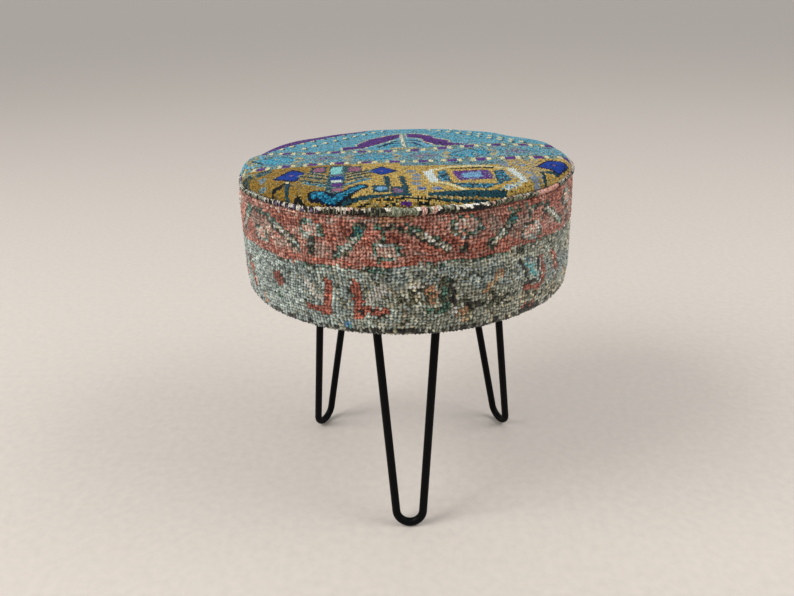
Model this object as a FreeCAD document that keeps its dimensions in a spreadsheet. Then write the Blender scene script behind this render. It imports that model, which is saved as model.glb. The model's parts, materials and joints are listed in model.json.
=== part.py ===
import FreeCAD, Part
import math
import os

import Sketcher

# Round upholstered stool. A drum of two plywood boards, posts and a bent hoop is padded with foam and
# wadding and covered with rug: a round panel on top, a band round the side and a whipped welt between them.
# Three hairpin legs of bent rod, welded to plates, are screwed to the underside.
# The origin is on the floor under the middle of the seat, +Z is up and the front leg is at -Y.

# Driving dimensions in millimetres. A name that ends in count is a number of pieces.
SIZES = {
    # Overall size of the seat and its height off the floor
    "seat_diameter": 396,
    "leg_height": 284,
    "drum_height": 131,
    "crown_rise": 6.5,
    # Cover, padding and the seam round the rim
    "cover_thickness": 5,
    "cover_bend_radius": 3,
    "hem_width": 34,
    "seam_tuck": 8,
    "seam_slack": 1.7,
    "welt_diameter": 9,
    "wadding_thickness": 4,
    "foam_thickness": 44,
    "foam_edge_radius": 3,
    "layer_gap": 0.2,
    # Boards, hoop and posts of the drum
    "board_thickness": 15,
    "hoop_thickness": 3,
    "hoop_joint_gap": 1.2,
    "post_count": 6,
    "post_width": 45,
    "post_depth": 30,
    "post_setback": 6,
    # Screws through the boards into the posts
    "frame_screw_diameter": 4,
    "frame_screw_head_diameter": 8,
    "frame_screw_bite": 23,
    "frame_screw_tip_length": 4,
    "frame_screw_stagger": 14,
    # Pins that hold the hoop to the boards
    "pin_count": 12,
    "pin_diameter": 1.6,
    "pin_head_diameter": 2.8,
    "pin_length": 16,
    # Dust cover and staples of the underside
    "dust_cover_thickness": 0.8,
    "staple_width": 10,
    "staple_wire": 0.9,
    "hem_staple_count": 24,
    "hem_staple_length": 12,
    "dust_staple_count": 12,
    "dust_staple_length": 8,
    "dust_staple_margin": 8,
    # Hairpin legs
    "rod_diameter": 10,
    "rod_spread": 74,
    "bend_radius": 16.5,
    "leg_splay": 45,
    "weld_size": 3,
    "weld_toe": 1,
    "plate_width": 112,
    "plate_depth": 62,
    "plate_thickness": 3,
    "plate_corner_radius": 8,
    "plate_inset": 15,
    "plate_hole_margin": 9,
    "plate_hole_clearance": 0.6,
    # Screws through the plates into the base board
    "leg_screw_diameter": 4.5,
    "leg_screw_head_diameter": 9,
    "leg_screw_head_height": 2.8,
    "leg_screw_bite": 9,
    "leg_screw_tip_length": 3,
    # How far a cutting tool runs past the face that it cuts
    "cut_overrun": 2,
}

# Places worked out from the driving dimensions, in the order in which they build on each other.
PLACES = {
    # Radii of the drum's layers, from the cover inwards
    "seat_radius": "Sizes.seat_diameter / 2",
    "cover_corner_radius": "Sizes.cover_bend_radius + Sizes.cover_thickness",
    "cover_inner_radius": "seat_radius - Sizes.cover_thickness",
    "wadding_outer_radius": "cover_inner_radius - Sizes.layer_gap",
    "wadding_inner_radius": "wadding_outer_radius - Sizes.wadding_thickness",
    "hoop_outer_radius": "wadding_inner_radius - Sizes.layer_gap",
    "hoop_inner_radius": "hoop_outer_radius - Sizes.hoop_thickness",
    "hoop_joint_angle": "Sizes.hoop_joint_gap / hoop_outer_radius * 180 / pi",
    "board_radius": "hoop_inner_radius - Sizes.layer_gap",
    "hem_inner_radius": "seat_radius - Sizes.hem_width",
    # Underside and seam heights
    "base_underside": "Sizes.leg_height + Sizes.cover_thickness",
    "base_top": "base_underside + Sizes.board_thickness",
    "seam_height": "Sizes.leg_height + Sizes.drum_height",
    # Seam: the top cover tucks inside the band, and the welt sits on the band's top edge against it
    "top_cover_radius": "cover_inner_radius - Sizes.seam_slack",
    "welt_radius": "Sizes.welt_diameter / 2",
    "welt_ring_radius": "top_cover_radius + Sizes.layer_gap + welt_radius",
    "band_top": "seam_height - welt_radius - Sizes.layer_gap",
    "tuck_height": "seam_height - Sizes.seam_tuck",
    "side_wadding_top": "tuck_height - Sizes.layer_gap",
    # Seat dome: a crown arc runs into a knuckle arc that ends upright inside the welt
    "wadding_depth": "Sizes.cover_thickness + Sizes.layer_gap",
    "wadding_under_depth": "wadding_depth + Sizes.wadding_thickness",
    "foam_depth": "wadding_under_depth + Sizes.layer_gap",
    "knuckle_radius": "foam_depth + Sizes.foam_edge_radius",
    "knuckle_ring_radius": "top_cover_radius - knuckle_radius",
    "crown_height": "knuckle_radius + Sizes.crown_rise",
    "crown_radius": "(knuckle_ring_radius ^ 2 / Sizes.crown_rise + crown_height + knuckle_radius) / 2",
    "crown_sine": "knuckle_ring_radius / (crown_radius - knuckle_radius)",
    "crown_cosine": "(crown_radius - crown_height) / (crown_radius - knuckle_radius)",
    "seat_top": "seam_height + crown_height",
    # Top board, which carries the foam
    "deck_height": "seat_top - foam_depth - Sizes.foam_thickness",
    "top_board_underside": "deck_height - Sizes.board_thickness",
    # Posts and their screws, staggered so that the upper and the lower one pass each other
    "post_face": "board_radius - Sizes.post_setback",
    "post_centre": "post_face - Sizes.post_depth / 2",
    "top_screw_ring": "post_centre + Sizes.frame_screw_stagger / 2",
    "base_screw_ring": "post_centre - Sizes.frame_screw_stagger / 2",
    "frame_screw_length": "Sizes.board_thickness + Sizes.frame_screw_bite",
    "frame_screw_radius": "Sizes.frame_screw_diameter / 2",
    "frame_screw_head_radius": "Sizes.frame_screw_head_diameter / 2",
    "frame_screw_head_height": "frame_screw_head_radius - frame_screw_radius",
    # Hoop pins, driven into the middle of each board's edge until the head just shows
    "pin_radius": "Sizes.pin_diameter / 2",
    "pin_head_radius": "Sizes.pin_head_diameter / 2",
    "pin_head_face": "hoop_outer_radius + Sizes.layer_gap / 2",
    "pin_neck": "pin_head_face - (pin_head_radius - pin_radius)",
    "pin_tip": "pin_head_face - Sizes.pin_length",
    "base_pin_height": "base_underside + Sizes.board_thickness / 2",
    "top_pin_height": "top_board_underside + Sizes.board_thickness / 2",
    # Dust cover inside the turned hem, and the two rings of staples
    "dust_cover_radius": "hem_inner_radius - Sizes.layer_gap",
    "dust_cover_underside": "base_underside - Sizes.dust_cover_thickness",
    "hem_staple_ring": "(board_radius + hem_inner_radius) / 2",
    "dust_staple_ring": "dust_cover_radius - Sizes.dust_staple_margin",
    # Leg plates, which lie against the dust cover inside its staples, and their screws
    "plate_underside": "dust_cover_underside - Sizes.plate_thickness",
    "leg_top_radius": "dust_staple_ring - Sizes.plate_inset - Sizes.plate_depth / 2",
    "foot_radius": "leg_top_radius + Sizes.leg_splay",
    "plate_hole_x": "Sizes.plate_width / 2 - Sizes.plate_hole_margin",
    "plate_hole_y": "Sizes.plate_depth / 2 - Sizes.plate_hole_margin",
    "plate_hole_radius": "(Sizes.leg_screw_diameter + Sizes.plate_hole_clearance) / 2",
    "leg_screw_radius": "Sizes.leg_screw_diameter / 2",
    "leg_screw_head_radius": "Sizes.leg_screw_head_diameter / 2",
    "leg_screw_tip": "base_underside + Sizes.leg_screw_bite",
    # Hairpin in its own leaning plane, measured up the slope from the lowest point of its centre line
    "rod_radius": "Sizes.rod_diameter / 2",
    "leg_rise": "plate_underside - rod_radius",
    "leg_slant": "sqrt(leg_rise ^ 2 + Sizes.leg_splay ^ 2)",
    "rod_end": "leg_slant + Sizes.cut_overrun",
    "half_spread": "Sizes.rod_spread / 2",
}

LEGS = ("front", "right", "left")
FULL_TURN = 360
UPRIGHT = FreeCAD.Vector(0, 0, 1)
ACROSS = FreeCAD.Vector(1, 0, 0)

doc = FreeCAD.newDocument("upholstered_stool")
nodes = []


def fill_sheet(name, cells):
    """Writes a sheet with one named cell per row, and the name beside it."""
    sheet = doc.addObject("Spreadsheet::Sheet", name)
    for row, (alias, content) in enumerate(cells.items(), start=1):
        sheet.set(f"A{row}", alias)
        sheet.set(f"B{row}", content)
        sheet.setAlias(f"B{row}", alias)
    return sheet


sizes = fill_sheet("Sizes", {alias: str(number) for alias, number in SIZES.items()})
places = fill_sheet("Places", {alias: f"={formula}" for alias, formula in PLACES.items()})
doc.recompute()


def value(formula):
    """The number that a formula of sheet cells stands for."""
    return float(places.evalExpression(formula))


def node(thing, label):
    """Names a finished piece and puts it on the list of pieces to write."""
    thing.Label = label
    nodes.append(thing)
    return thing


# Sketches and features


def new_body(name):
    """An empty body for one piece."""
    return doc.addObject("PartDesign::Body", name)


def origin_feature(body, role):
    """One of the body's own origin planes or axes."""
    return next(feature for feature in body.Origin.OriginFeatures if feature.Role == role)


def new_sketch(body, name, role, offset=None):
    """A sketch on one of the body's origin planes, moved within or off that plane by formulas."""
    sketch = body.newObject("Sketcher::SketchObject", name)
    sketch.AttachmentSupport = [(origin_feature(body, role), "")]
    sketch.MapMode = "FlatFace"
    for direction, formula in (offset or {}).items():
        sketch.setExpression(f"AttachmentOffset.Base.{direction}", formula)
    return sketch


def bind(sketch, kind, *elements, formula):
    """A dimension of the sketch, tied to a formula."""
    index = sketch.addConstraint(Sketcher.Constraint(kind, *elements, value(formula)))
    sketch.setExpression(f"Constraints[{index}]", formula)


def pin_point(sketch, element, end, x, y):
    """Holds one point of the sketch at two formulas. A plain 0 puts it on the axis, which the sketch numbers
    -1 for the level axis and -2 for the upright one."""
    for direction, axis, formula in (("X", -2, x), ("Y", -1, y)):
        if formula == "0":
            sketch.addConstraint(Sketcher.Constraint("PointOnObject", element, end, axis))
        else:
            bind(sketch, f"Distance{direction}", -1, 1, element, end, formula=formula)


def add_circle(sketch, x, y, radius):
    """A circle whose centre and radius are formulas."""
    centre = FreeCAD.Vector(value(x), value(y), 0)
    element = sketch.addGeometry(Part.Circle(centre, UPRIGHT, value(radius)))
    pin_point(sketch, element, 3, x, y)
    bind(sketch, "Radius", element, formula=radius)


def arc_between(start, end, radius, turn):
    """The arc under a half circle from start to end, anticlockwise for turn 1 and clockwise for -1."""
    chord = end - start
    left = FreeCAD.Vector(-chord.y, chord.x, 0).normalize()
    centre = (start + end) / 2 + left * turn * math.sqrt(radius**2 - (chord.Length / 2) ** 2)
    first, last = (start, end) if turn > 0 else (end, start)
    angles = [math.atan2(point.y - centre.y, point.x - centre.x) for point in (first, last)]
    if angles[1] < angles[0]:
        angles[1] += 2 * math.pi
    return Part.ArcOfCircle(Part.Circle(centre, UPRIGHT, radius), *angles)


def add_outline(sketch, corners, arcs=None):
    """A closed outline through corners, which are pairs of formulas. The edge from corner number n to the
    next one is straight, or an arc where arcs[n] gives its radius and its turn."""
    arcs = arcs or {}
    points = [FreeCAD.Vector(value(x), value(y), 0) for x, y in corners]
    ends = []
    for number, start in enumerate(points):
        end = points[(number + 1) % len(points)]
        if number in arcs:
            radius, turn = arcs[number]
            element = sketch.addGeometry(arc_between(start, end, value(radius), turn))
            bind(sketch, "Radius", element, formula=radius)
            ends.append((element, 1, 2) if turn > 0 else (element, 2, 1))
        else:
            element = sketch.addGeometry(Part.LineSegment(start, end))
            ends.append((element, 1, 2))
    for number, (element, start_end, _) in enumerate(ends):
        before, _, before_end = ends[number - 1]
        sketch.addConstraint(Sketcher.Constraint("Coincident", before, before_end, element, start_end))
        pin_point(sketch, element, start_end, *corners[number])


def pad(body, sketch, length, both_ways=False):
    """Raises the sketch off its plane by a formula, or half of it each way."""
    feature = body.newObject("PartDesign::Pad", "Pad")
    feature.Profile = sketch
    feature.Midplane = both_ways
    feature.setExpression("Length", length)
    doc.recompute()
    return feature


def revolve(body, sketch, axis="V_Axis", angle=str(FULL_TURN)):
    """Turns the sketch about one of its own axes."""
    feature = body.newObject("PartDesign::Revolution", "Revolution")
    feature.Profile = sketch
    feature.ReferenceAxis = (sketch, [axis])
    feature.setExpression("Angle", angle)
    doc.recompute()
    return feature


def ring_of(body, features, count):
    """Repeats features evenly round the stool's own axis."""
    pattern = body.newObject("PartDesign::PolarPattern", "Ring")
    pattern.Originals = features
    pattern.Axis = (origin_feature(body, "Z_Axis"), [""])
    pattern.Angle = FULL_TURN
    pattern.setExpression("Occurrences", count)
    body.Tip = pattern
    doc.recompute()
    return body


def turned(name, corners, arcs=None, angle=str(FULL_TURN)):
    """A body turned about the stool's axis from a section of radius and height formulas."""
    body = new_body(name)
    sketch = new_sketch(body, "Section", "XZ_Plane")
    add_outline(sketch, corners, arcs)
    revolve(body, sketch, angle=angle)
    return body


def disc(name, radius, underside, thickness):
    """A flat round body."""
    body = new_body(name)
    sketch = new_sketch(body, "Outline", "XY_Plane", {"z": underside})
    add_circle(sketch, "0", "0", radius)
    pad(body, sketch, thickness)
    return body


def cut_from(base, tools):
    """The base with the space of the tools taken out of it."""
    group = doc.addObject("Part::Compound", "Tools")
    group.Links = tools
    cut = doc.addObject("Part::Cut", "Cut")
    cut.Base = base
    cut.Tool = group
    doc.recompute()
    return cut


def turn_about_axis(thing, degrees):
    """Turns a piece about the stool's axis from where it is drawn to its place."""
    thing.Placement = FreeCAD.Placement(FreeCAD.Vector(), FreeCAD.Rotation(UPRIGHT, degrees))
    return thing


def between_posts(ring, count):
    """Turns a ring by half a step, so that none of its pieces meets a screw in line with a post."""
    return turn_about_axis(ring, FULL_TURN / (2 * value(count)))


# Fasteners, which come first because they bore the pieces that they hold


def frame_screws(name, ring_radius, head_face, point_way):
    """Countersunk screws, one per post, with the head flush with head_face. The point lies above the head
    where point_way is + and below it where point_way is -."""
    body = new_body(name)
    sketch = new_sketch(body, "Section", "XZ_Plane", {"x": ring_radius})
    neck = f"{head_face} {point_way} Places.frame_screw_head_height"
    shoulder = f"{head_face} {point_way} (Places.frame_screw_length - Sizes.frame_screw_tip_length)"
    tip = f"{head_face} {point_way} Places.frame_screw_length"
    add_outline(
        sketch,
        [
            ("0", head_face),
            ("Places.frame_screw_head_radius", head_face),
            ("Places.frame_screw_radius", neck),
            ("Places.frame_screw_radius", shoulder),
            ("0", tip),
        ],
    )
    return ring_of(body, [revolve(body, sketch)], "Sizes.post_count")


def hoop_pins(name, height):
    """Lost-head pins driven inwards through the hoop into a board's edge."""
    body = new_body(name)
    sketch = new_sketch(body, "Section", "XZ_Plane", {"y": height})
    add_outline(
        sketch,
        [
            ("Places.pin_tip", "0"),
            ("Places.pin_head_face", "0"),
            ("Places.pin_head_face", "Places.pin_head_radius"),
            ("Places.pin_neck", "Places.pin_radius"),
            ("Places.pin_tip", "Places.pin_radius"),
        ],
    )
    ring = ring_of(body, [revolve(body, sketch, "H_Axis")], "Sizes.pin_count")
    return between_posts(ring, "Sizes.pin_count")


def staples(kind, ring_radius, fabric_underside):
    """A ring of staples driven upwards, with their crowns against the underside of the fabric."""
    body = new_body(f"{kind}_staples")
    sketch = new_sketch(body, "Section", "YZ_Plane", {"z": ring_radius})
    outer = "Sizes.staple_width / 2"
    inner = f"{outer} - Sizes.staple_wire"
    crown = f"{fabric_underside} - Sizes.staple_wire"
    tip = f"{crown} + Sizes.{kind}_staple_length"
    add_outline(
        sketch,
        [
            (f"-({outer})", crown),
            (outer, crown),
            (outer, tip),
            (inner, tip),
            (inner, fabric_underside),
            (f"-({inner})", fabric_underside),
            (f"-({inner})", tip),
            (f"-({outer})", tip),
        ],
    )
    one = pad(body, sketch, "Sizes.staple_wire", both_ways=True)
    count = f"Sizes.{kind}_staple_count"
    return between_posts(ring_of(body, [one], count), count)


def leg_screws():
    """Pan-head screws at the four corners of each leg plate."""
    body = new_body("LegScrews")
    head_end = "Places.plate_underside - Sizes.leg_screw_head_height"
    shoulder = "Places.leg_screw_tip - Sizes.leg_screw_tip_length"
    features = []
    for x_side in ("-", "+"):
        for y_side in ("-", "+"):
            place = {
                "x": f"{x_side}Places.plate_hole_x",
                "z": f"Places.leg_top_radius {y_side} Places.plate_hole_y",
            }
            sketch = new_sketch(body, "Section", "XZ_Plane", place)
            add_outline(
                sketch,
                [
                    ("0", head_end),
                    ("Places.leg_screw_radius", head_end),
                    ("Places.leg_screw_head_radius", "Places.plate_underside"),
                    ("Places.leg_screw_radius", "Places.plate_underside"),
                    ("Places.leg_screw_radius", shoulder),
                    ("0", "Places.leg_screw_tip"),
                ],
                {1: ("Places.leg_screw_head_radius", 1)},
            )
            features.append(revolve(body, sketch))
    return ring_of(body, features, str(len(LEGS)))


top_screws = frame_screws("TopScrews", "Places.top_screw_ring", "Places.deck_height", "-")
base_screws = frame_screws("BaseScrews", "Places.base_screw_ring", "Places.base_underside", "+")
top_pins = hoop_pins("TopPins", "Places.top_pin_height")
base_pins = hoop_pins("BasePins", "Places.base_pin_height")
hem_staples = staples("hem", "Places.hem_staple_ring", "Sizes.leg_height")
dust_staples = staples("dust", "Places.dust_staple_ring", "Places.dust_cover_underside")
plate_screws = leg_screws()
node(top_screws, "top_board_screws")
node(base_screws, "base_board_screws")
node(top_pins, "top_hoop_pins")
node(base_pins, "base_hoop_pins")
node(hem_staples, "hem_staples")
node(dust_staples, "dust_cover_staples")
node(plate_screws, "leg_screws")


# Drum: two boards held apart by posts, inside a bent hoop


def frame_post(degrees):
    """An upright block between the boards, with the holes of its two screws."""
    body = new_body("PostBlank")
    sketch = new_sketch(body, "Outline", "XY_Plane", {"z": "Places.base_top"})
    side = "Sizes.post_width / 2"
    face = "Places.post_face"
    back = "Places.post_face - Sizes.post_depth"
    add_outline(sketch, [(back, f"-{side}"), (face, f"-{side}"), (face, side), (back, side)])
    pad(body, sketch, "Places.top_board_underside - Places.base_top")
    return cut_from(turn_about_axis(body, degrees), [top_screws, base_screws])


def drum_hoop():
    """A strip bent round both boards, with its butt joint at the back."""
    strip = turned(
        "HoopStrip",
        [
            ("Places.hoop_inner_radius", "Places.base_underside"),
            ("Places.hoop_outer_radius", "Places.base_underside"),
            ("Places.hoop_outer_radius", "Places.deck_height"),
            ("Places.hoop_inner_radius", "Places.deck_height"),
        ],
        angle=f"{FULL_TURN} - Places.hoop_joint_angle",
    )
    return cut_from(turn_about_axis(strip, FULL_TURN / 4), [top_pins, base_pins])


base_blank = disc("BaseBlank", "Places.board_radius", "Places.base_underside", "Sizes.board_thickness")
base_holes = [base_screws, base_pins, hem_staples, dust_staples, plate_screws]
node(cut_from(base_blank, base_holes), "base_board")
top_blank = disc("TopBlank", "Places.board_radius", "Places.top_board_underside", "Sizes.board_thickness")
node(cut_from(top_blank, [top_screws, top_pins]), "top_board")
for number in range(SIZES["post_count"]):
    node(frame_post(FULL_TURN * number / SIZES["post_count"]), f"frame_post_{number + 1}")
node(drum_hoop(), "drum_hoop")


# Padding and covers


def dome_line(depth):
    """The seat's domed surface at a depth below the finished top, from the axis out to the upright edge:
    its three corners, and the radii of the crown arc and the knuckle arc between them."""
    knuckle = f"(Places.knuckle_radius - {depth})"
    corners = [
        ("0", f"Places.seat_top - {depth}"),
        (
            f"Places.knuckle_ring_radius + {knuckle} * Places.crown_sine",
            f"Places.seam_height + {knuckle} * Places.crown_cosine",
        ),
        (f"Places.top_cover_radius - {depth}", "Places.seam_height"),
    ]
    return corners, [f"Places.crown_radius - {depth}", f"Places.knuckle_radius - {depth}"]


def dome_shell(name, outer_depth, inner_depth, tail):
    """A domed sheet between two depths, with an upright tail down to a height."""
    outer, outer_radii = dome_line(outer_depth)
    inner, inner_radii = dome_line(inner_depth)
    corners = outer + [(outer[-1][0], tail), (inner[-1][0], tail)] + inner[::-1]
    arcs = {0: (outer_radii[0], -1), 1: (outer_radii[1], -1), 5: (inner_radii[1], 1), 6: (inner_radii[0], 1)}
    return turned(name, corners, arcs)


def seat_foam():
    """The foam pad on the top board, crowned above and rounded at its edge."""
    line, radii = dome_line("Places.foam_depth")
    corners = line + [(line[-1][0], "Places.deck_height"), ("0", "Places.deck_height")]
    return turned("SeatFoam", corners, {0: (radii[0], -1), 1: (radii[1], -1)})


def side_wadding():
    """Wadding wrapped round the hoop and the padding's edge, trimmed to clear the cover's lower bend."""
    return turned(
        "SideWadding",
        [
            ("Places.wadding_inner_radius", "Places.base_underside"),
            ("Places.wadding_outer_radius", "Places.base_underside + Sizes.cover_bend_radius"),
            ("Places.wadding_outer_radius", "Places.side_wadding_top"),
            ("Places.wadding_inner_radius", "Places.side_wadding_top"),
        ],
    )


def side_cover():
    """The rug band round the drum, turned in under the base board as a hem."""
    bend_height = "Sizes.leg_height + Places.cover_corner_radius"
    bend_start = "Places.seat_radius - Places.cover_corner_radius"
    band = turned(
        "SideBand",
        [
            ("Places.hem_inner_radius", "Sizes.leg_height"),
            (bend_start, "Sizes.leg_height"),
            ("Places.seat_radius", bend_height),
            ("Places.seat_radius", "Places.band_top"),
            ("Places.cover_inner_radius", "Places.band_top"),
            ("Places.cover_inner_radius", bend_height),
            (bend_start, "Places.base_underside"),
            ("Places.hem_inner_radius", "Places.base_underside"),
        ],
        {1: ("Places.cover_corner_radius", 1), 5: ("Sizes.cover_bend_radius", -1)},
    )
    return cut_from(band, [hem_staples])


def rim_welt():
    """The whipped roll that joins the top cover to the band."""
    ring = doc.addObject("Part::Torus", "RimWelt")
    ring.setExpression("Radius1", "Places.welt_ring_radius")
    ring.setExpression("Radius2", "Places.welt_radius")
    ring.setExpression("Placement.Base.z", "Places.seam_height")
    return ring


seat_wadding = dome_shell(
    "SeatWadding", "Places.wadding_depth", "Places.wadding_under_depth", "Places.deck_height"
)
dust_blank = disc(
    "DustBlank", "Places.dust_cover_radius", "Places.dust_cover_underside", "Sizes.dust_cover_thickness"
)
node(seat_foam(), "seat_foam")
node(seat_wadding, "seat_wadding")
node(side_wadding(), "side_wadding")
node(dome_shell("TopCover", "0", "Sizes.cover_thickness", "Places.tuck_height"), "top_cover")
node(side_cover(), "side_cover")
node(rim_welt(), "rim_welt")
node(cut_from(dust_blank, [dust_staples, plate_screws]), "dust_cover")


# Hairpin legs, drawn at the front and turned to their places


def leg_plate():
    """The steel plate of one leg, with rounded corners and four screw holes."""
    body = new_body("LegPlate")
    place = {"y": "-Places.leg_top_radius", "z": "Places.plate_underside"}
    outline = new_sketch(body, "Outline", "XY_Plane", place)
    side = "Sizes.plate_width / 2"
    edge = "Sizes.plate_depth / 2"
    add_outline(outline, [(f"-{side}", f"-{edge}"), (side, f"-{edge}"), (side, edge), (f"-{side}", edge)])
    slab = pad(body, outline, "Sizes.plate_thickness")
    upright_edges = [
        f"Edge{number}"
        for number, line in enumerate(slab.Shape.Edges, start=1)
        if round(abs(line.tangentAt(line.FirstParameter).z)) == 1
    ]
    rounded = body.newObject("PartDesign::Fillet", "Corners")
    rounded.Base = (slab, upright_edges)
    rounded.setExpression("Radius", "Sizes.plate_corner_radius")
    doc.recompute()
    holes = new_sketch(body, "Holes", "XY_Plane", {**place, "z": "Places.dust_cover_underside"})
    for x_side in ("-", "+"):
        for y_side in ("-", "+"):
            hole = (f"{x_side}Places.plate_hole_x", f"{y_side}Places.plate_hole_y")
            add_circle(holes, *hole, "Places.plate_hole_radius")
    bored = body.newObject("PartDesign::Pocket", "ScrewHoles")
    bored.Profile = holes
    bored.setExpression("Length", "Sizes.plate_thickness")
    doc.recompute()
    if bored.Shape.Volume >= rounded.Shape.Volume:
        raise RuntimeError("the leg plate's screw holes cut nothing")
    return body


def hairpin_line():
    """The rod's centre line in the leaning plane: two straight runs and the bend between them."""
    sketch = doc.addObject("Sketcher::SketchObject", "HairpinLine")
    bend, spread, end = value("Sizes.bend_radius"), value("Places.half_spread"), value("Places.rod_end")
    drop = end - bend
    square = spread**2 + drop**2
    along, beside = bend**2 / square, bend * math.sqrt(square - bend**2) / square
    touch = FreeCAD.Vector(along * spread + beside * drop, bend + along * drop - beside * spread, 0)
    mirror = FreeCAD.Vector(-touch.x, touch.y, 0)
    angle = math.atan2(touch.y - bend, touch.x)
    circle = Part.Circle(FreeCAD.Vector(0, bend, 0), UPRIGHT, bend)
    left = sketch.addGeometry(Part.LineSegment(FreeCAD.Vector(-spread, end, 0), mirror))
    round_end = sketch.addGeometry(Part.ArcOfCircle(circle, math.pi - angle, 2 * math.pi + angle))
    right = sketch.addGeometry(Part.LineSegment(touch, FreeCAD.Vector(spread, end, 0)))
    sketch.addConstraint(Sketcher.Constraint("Tangent", left, 2, round_end, 1))
    sketch.addConstraint(Sketcher.Constraint("Tangent", round_end, 2, right, 1))
    bind(sketch, "Radius", round_end, formula="Sizes.bend_radius")
    pin_point(sketch, round_end, 3, "0", "Sizes.bend_radius")
    pin_point(sketch, left, 1, "-Places.half_spread", "Places.rod_end")
    pin_point(sketch, right, 2, "Places.half_spread", "Places.rod_end")
    lean = value("atan2(Places.leg_rise; Sizes.leg_splay)")
    sketch.Placement = FreeCAD.Placement(FreeCAD.Vector(), FreeCAD.Rotation(ACROSS, lean))
    sketch.setExpression("Placement.Base.y", "-Places.foot_radius")
    sketch.setExpression("Placement.Base.z", "Places.rod_radius")
    doc.recompute()
    return sketch


def rod_section(line):
    """The rod's round section, square to the upper end of its centre line."""
    run = line.Shape.Edges[0]
    section = doc.addObject("Part::Circle", "RodSection")
    section.setExpression("Radius", "Places.rod_radius")
    facing = FreeCAD.Rotation(UPRIGHT, run.tangentAt(run.FirstParameter))
    section.Placement = FreeCAD.Placement(run.valueAt(run.FirstParameter), facing)
    doc.recompute()
    return section


def bent_bar():
    """The bar bent to the hairpin's line, with its ends left a little long."""
    line = hairpin_line()
    bar = doc.addObject("Part::Sweep", "BentBar")
    bar.Sections = [rod_section(line)]
    bar.Spine = (line, [f"Edge{number}" for number in range(1, len(line.Shape.Edges) + 1)])
    bar.Solid = True
    bar.Frenet = False
    doc.recompute()
    return bar


def above_plate():
    """The space over the plate's underside, which trims the bar's ends flush."""
    space = doc.addObject("Part::Box", "AbovePlate")
    space.setExpression("Length", "Sizes.plate_width")
    space.setExpression("Width", "Sizes.plate_depth")
    space.setExpression("Height", "Sizes.rod_diameter + 2 * Sizes.cut_overrun")
    space.setExpression("Placement.Base.x", "-Sizes.plate_width / 2")
    space.setExpression("Placement.Base.y", "-Places.leg_top_radius - Sizes.plate_depth / 2")
    space.setExpression("Placement.Base.z", "Places.plate_underside")
    return space


def weld_bead(side):
    """A fillet weld round one end of the rod, before the rod's own space is taken out of it."""
    bead = doc.addObject("Part::Cone", "WeldBead")
    bead.setExpression("Radius1", "Places.rod_radius + Sizes.weld_toe")
    bead.setExpression("Radius2", "Places.rod_radius + Sizes.weld_size")
    bead.setExpression("Height", "Sizes.weld_size")
    bead.setExpression("Placement.Base.x", f"{side}Places.half_spread")
    bead.setExpression("Placement.Base.y", "-Places.leg_top_radius")
    bead.setExpression("Placement.Base.z", "Places.plate_underside - Sizes.weld_size")
    return bead


def weld_beads():
    """The two beads that join a rod to its plate."""
    beads = doc.addObject("Part::Compound", "WeldBeads")
    beads.Links = [weld_bead("-"), weld_bead("+")]
    return beads


for number, leg in enumerate(LEGS):
    degrees = FULL_TURN * number / len(LEGS)
    bar = bent_bar()
    rod = cut_from(bar, [above_plate()])
    welds = cut_from(weld_beads(), [bar])
    node(turn_about_axis(leg_plate(), degrees), f"{leg}_leg_plate")
    node(turn_about_axis(rod, degrees), f"{leg}_leg_rod")
    node(turn_about_axis(welds, degrees), f"{leg}_leg_welds")
doc.recompute()


# Check and write


def check(thing):
    """Stops the build if an object failed."""
    if {"Invalid", "Error"} & set(thing.State):
        raise RuntimeError(f"{thing.Label} failed: {thing.State}")


def write(thing):
    """Writes one finished piece, once its shape is known to be sound."""
    shape = thing.Shape
    if shape.isNull() or not shape.isValid() or not shape.Solids:
        raise RuntimeError(f"{thing.Label} has no sound solid")
    shape.exportStep(os.path.join("parts", f"{thing.Label}.step"))


for thing in doc.Objects:
    check(thing)
os.makedirs("parts", exist_ok=True)
for thing in nodes:
    write(thing)
print(f"{len(nodes)} pieces written")
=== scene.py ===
# %% [markdown]
# # A rug-covered stool
# This lesson dresses a finished CAD stool: a padded drum covered in old knotted rug, on three hairpin
# legs of black rod. The CAD model is loaded first and never moves. Every soft piece is then made again
# as what it really is, and takes its size and place from the CAD piece that it stands for.

# %% Load the frame
import json
import math

import bpy
import numpy as np
from mathutils import Matrix, Vector


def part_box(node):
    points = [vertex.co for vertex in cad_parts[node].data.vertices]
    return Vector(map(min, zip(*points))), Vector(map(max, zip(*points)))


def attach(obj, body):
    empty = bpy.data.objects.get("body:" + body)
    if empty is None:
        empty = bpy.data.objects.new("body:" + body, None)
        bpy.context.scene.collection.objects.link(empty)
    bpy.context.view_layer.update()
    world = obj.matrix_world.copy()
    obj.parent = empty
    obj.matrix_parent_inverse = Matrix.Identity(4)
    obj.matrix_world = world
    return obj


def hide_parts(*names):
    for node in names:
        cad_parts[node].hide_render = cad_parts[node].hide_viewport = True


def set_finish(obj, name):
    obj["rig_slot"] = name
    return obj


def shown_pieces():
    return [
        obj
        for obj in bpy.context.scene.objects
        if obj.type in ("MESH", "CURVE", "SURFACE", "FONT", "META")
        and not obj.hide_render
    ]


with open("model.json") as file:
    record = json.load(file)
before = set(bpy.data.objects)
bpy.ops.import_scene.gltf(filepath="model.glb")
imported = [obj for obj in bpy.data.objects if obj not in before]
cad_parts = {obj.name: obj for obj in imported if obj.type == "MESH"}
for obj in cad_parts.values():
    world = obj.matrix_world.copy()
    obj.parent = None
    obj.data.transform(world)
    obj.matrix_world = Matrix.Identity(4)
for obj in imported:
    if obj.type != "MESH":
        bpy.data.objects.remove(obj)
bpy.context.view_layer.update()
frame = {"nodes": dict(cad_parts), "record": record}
print("CAD nodes:", len(frame["nodes"]))

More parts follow.
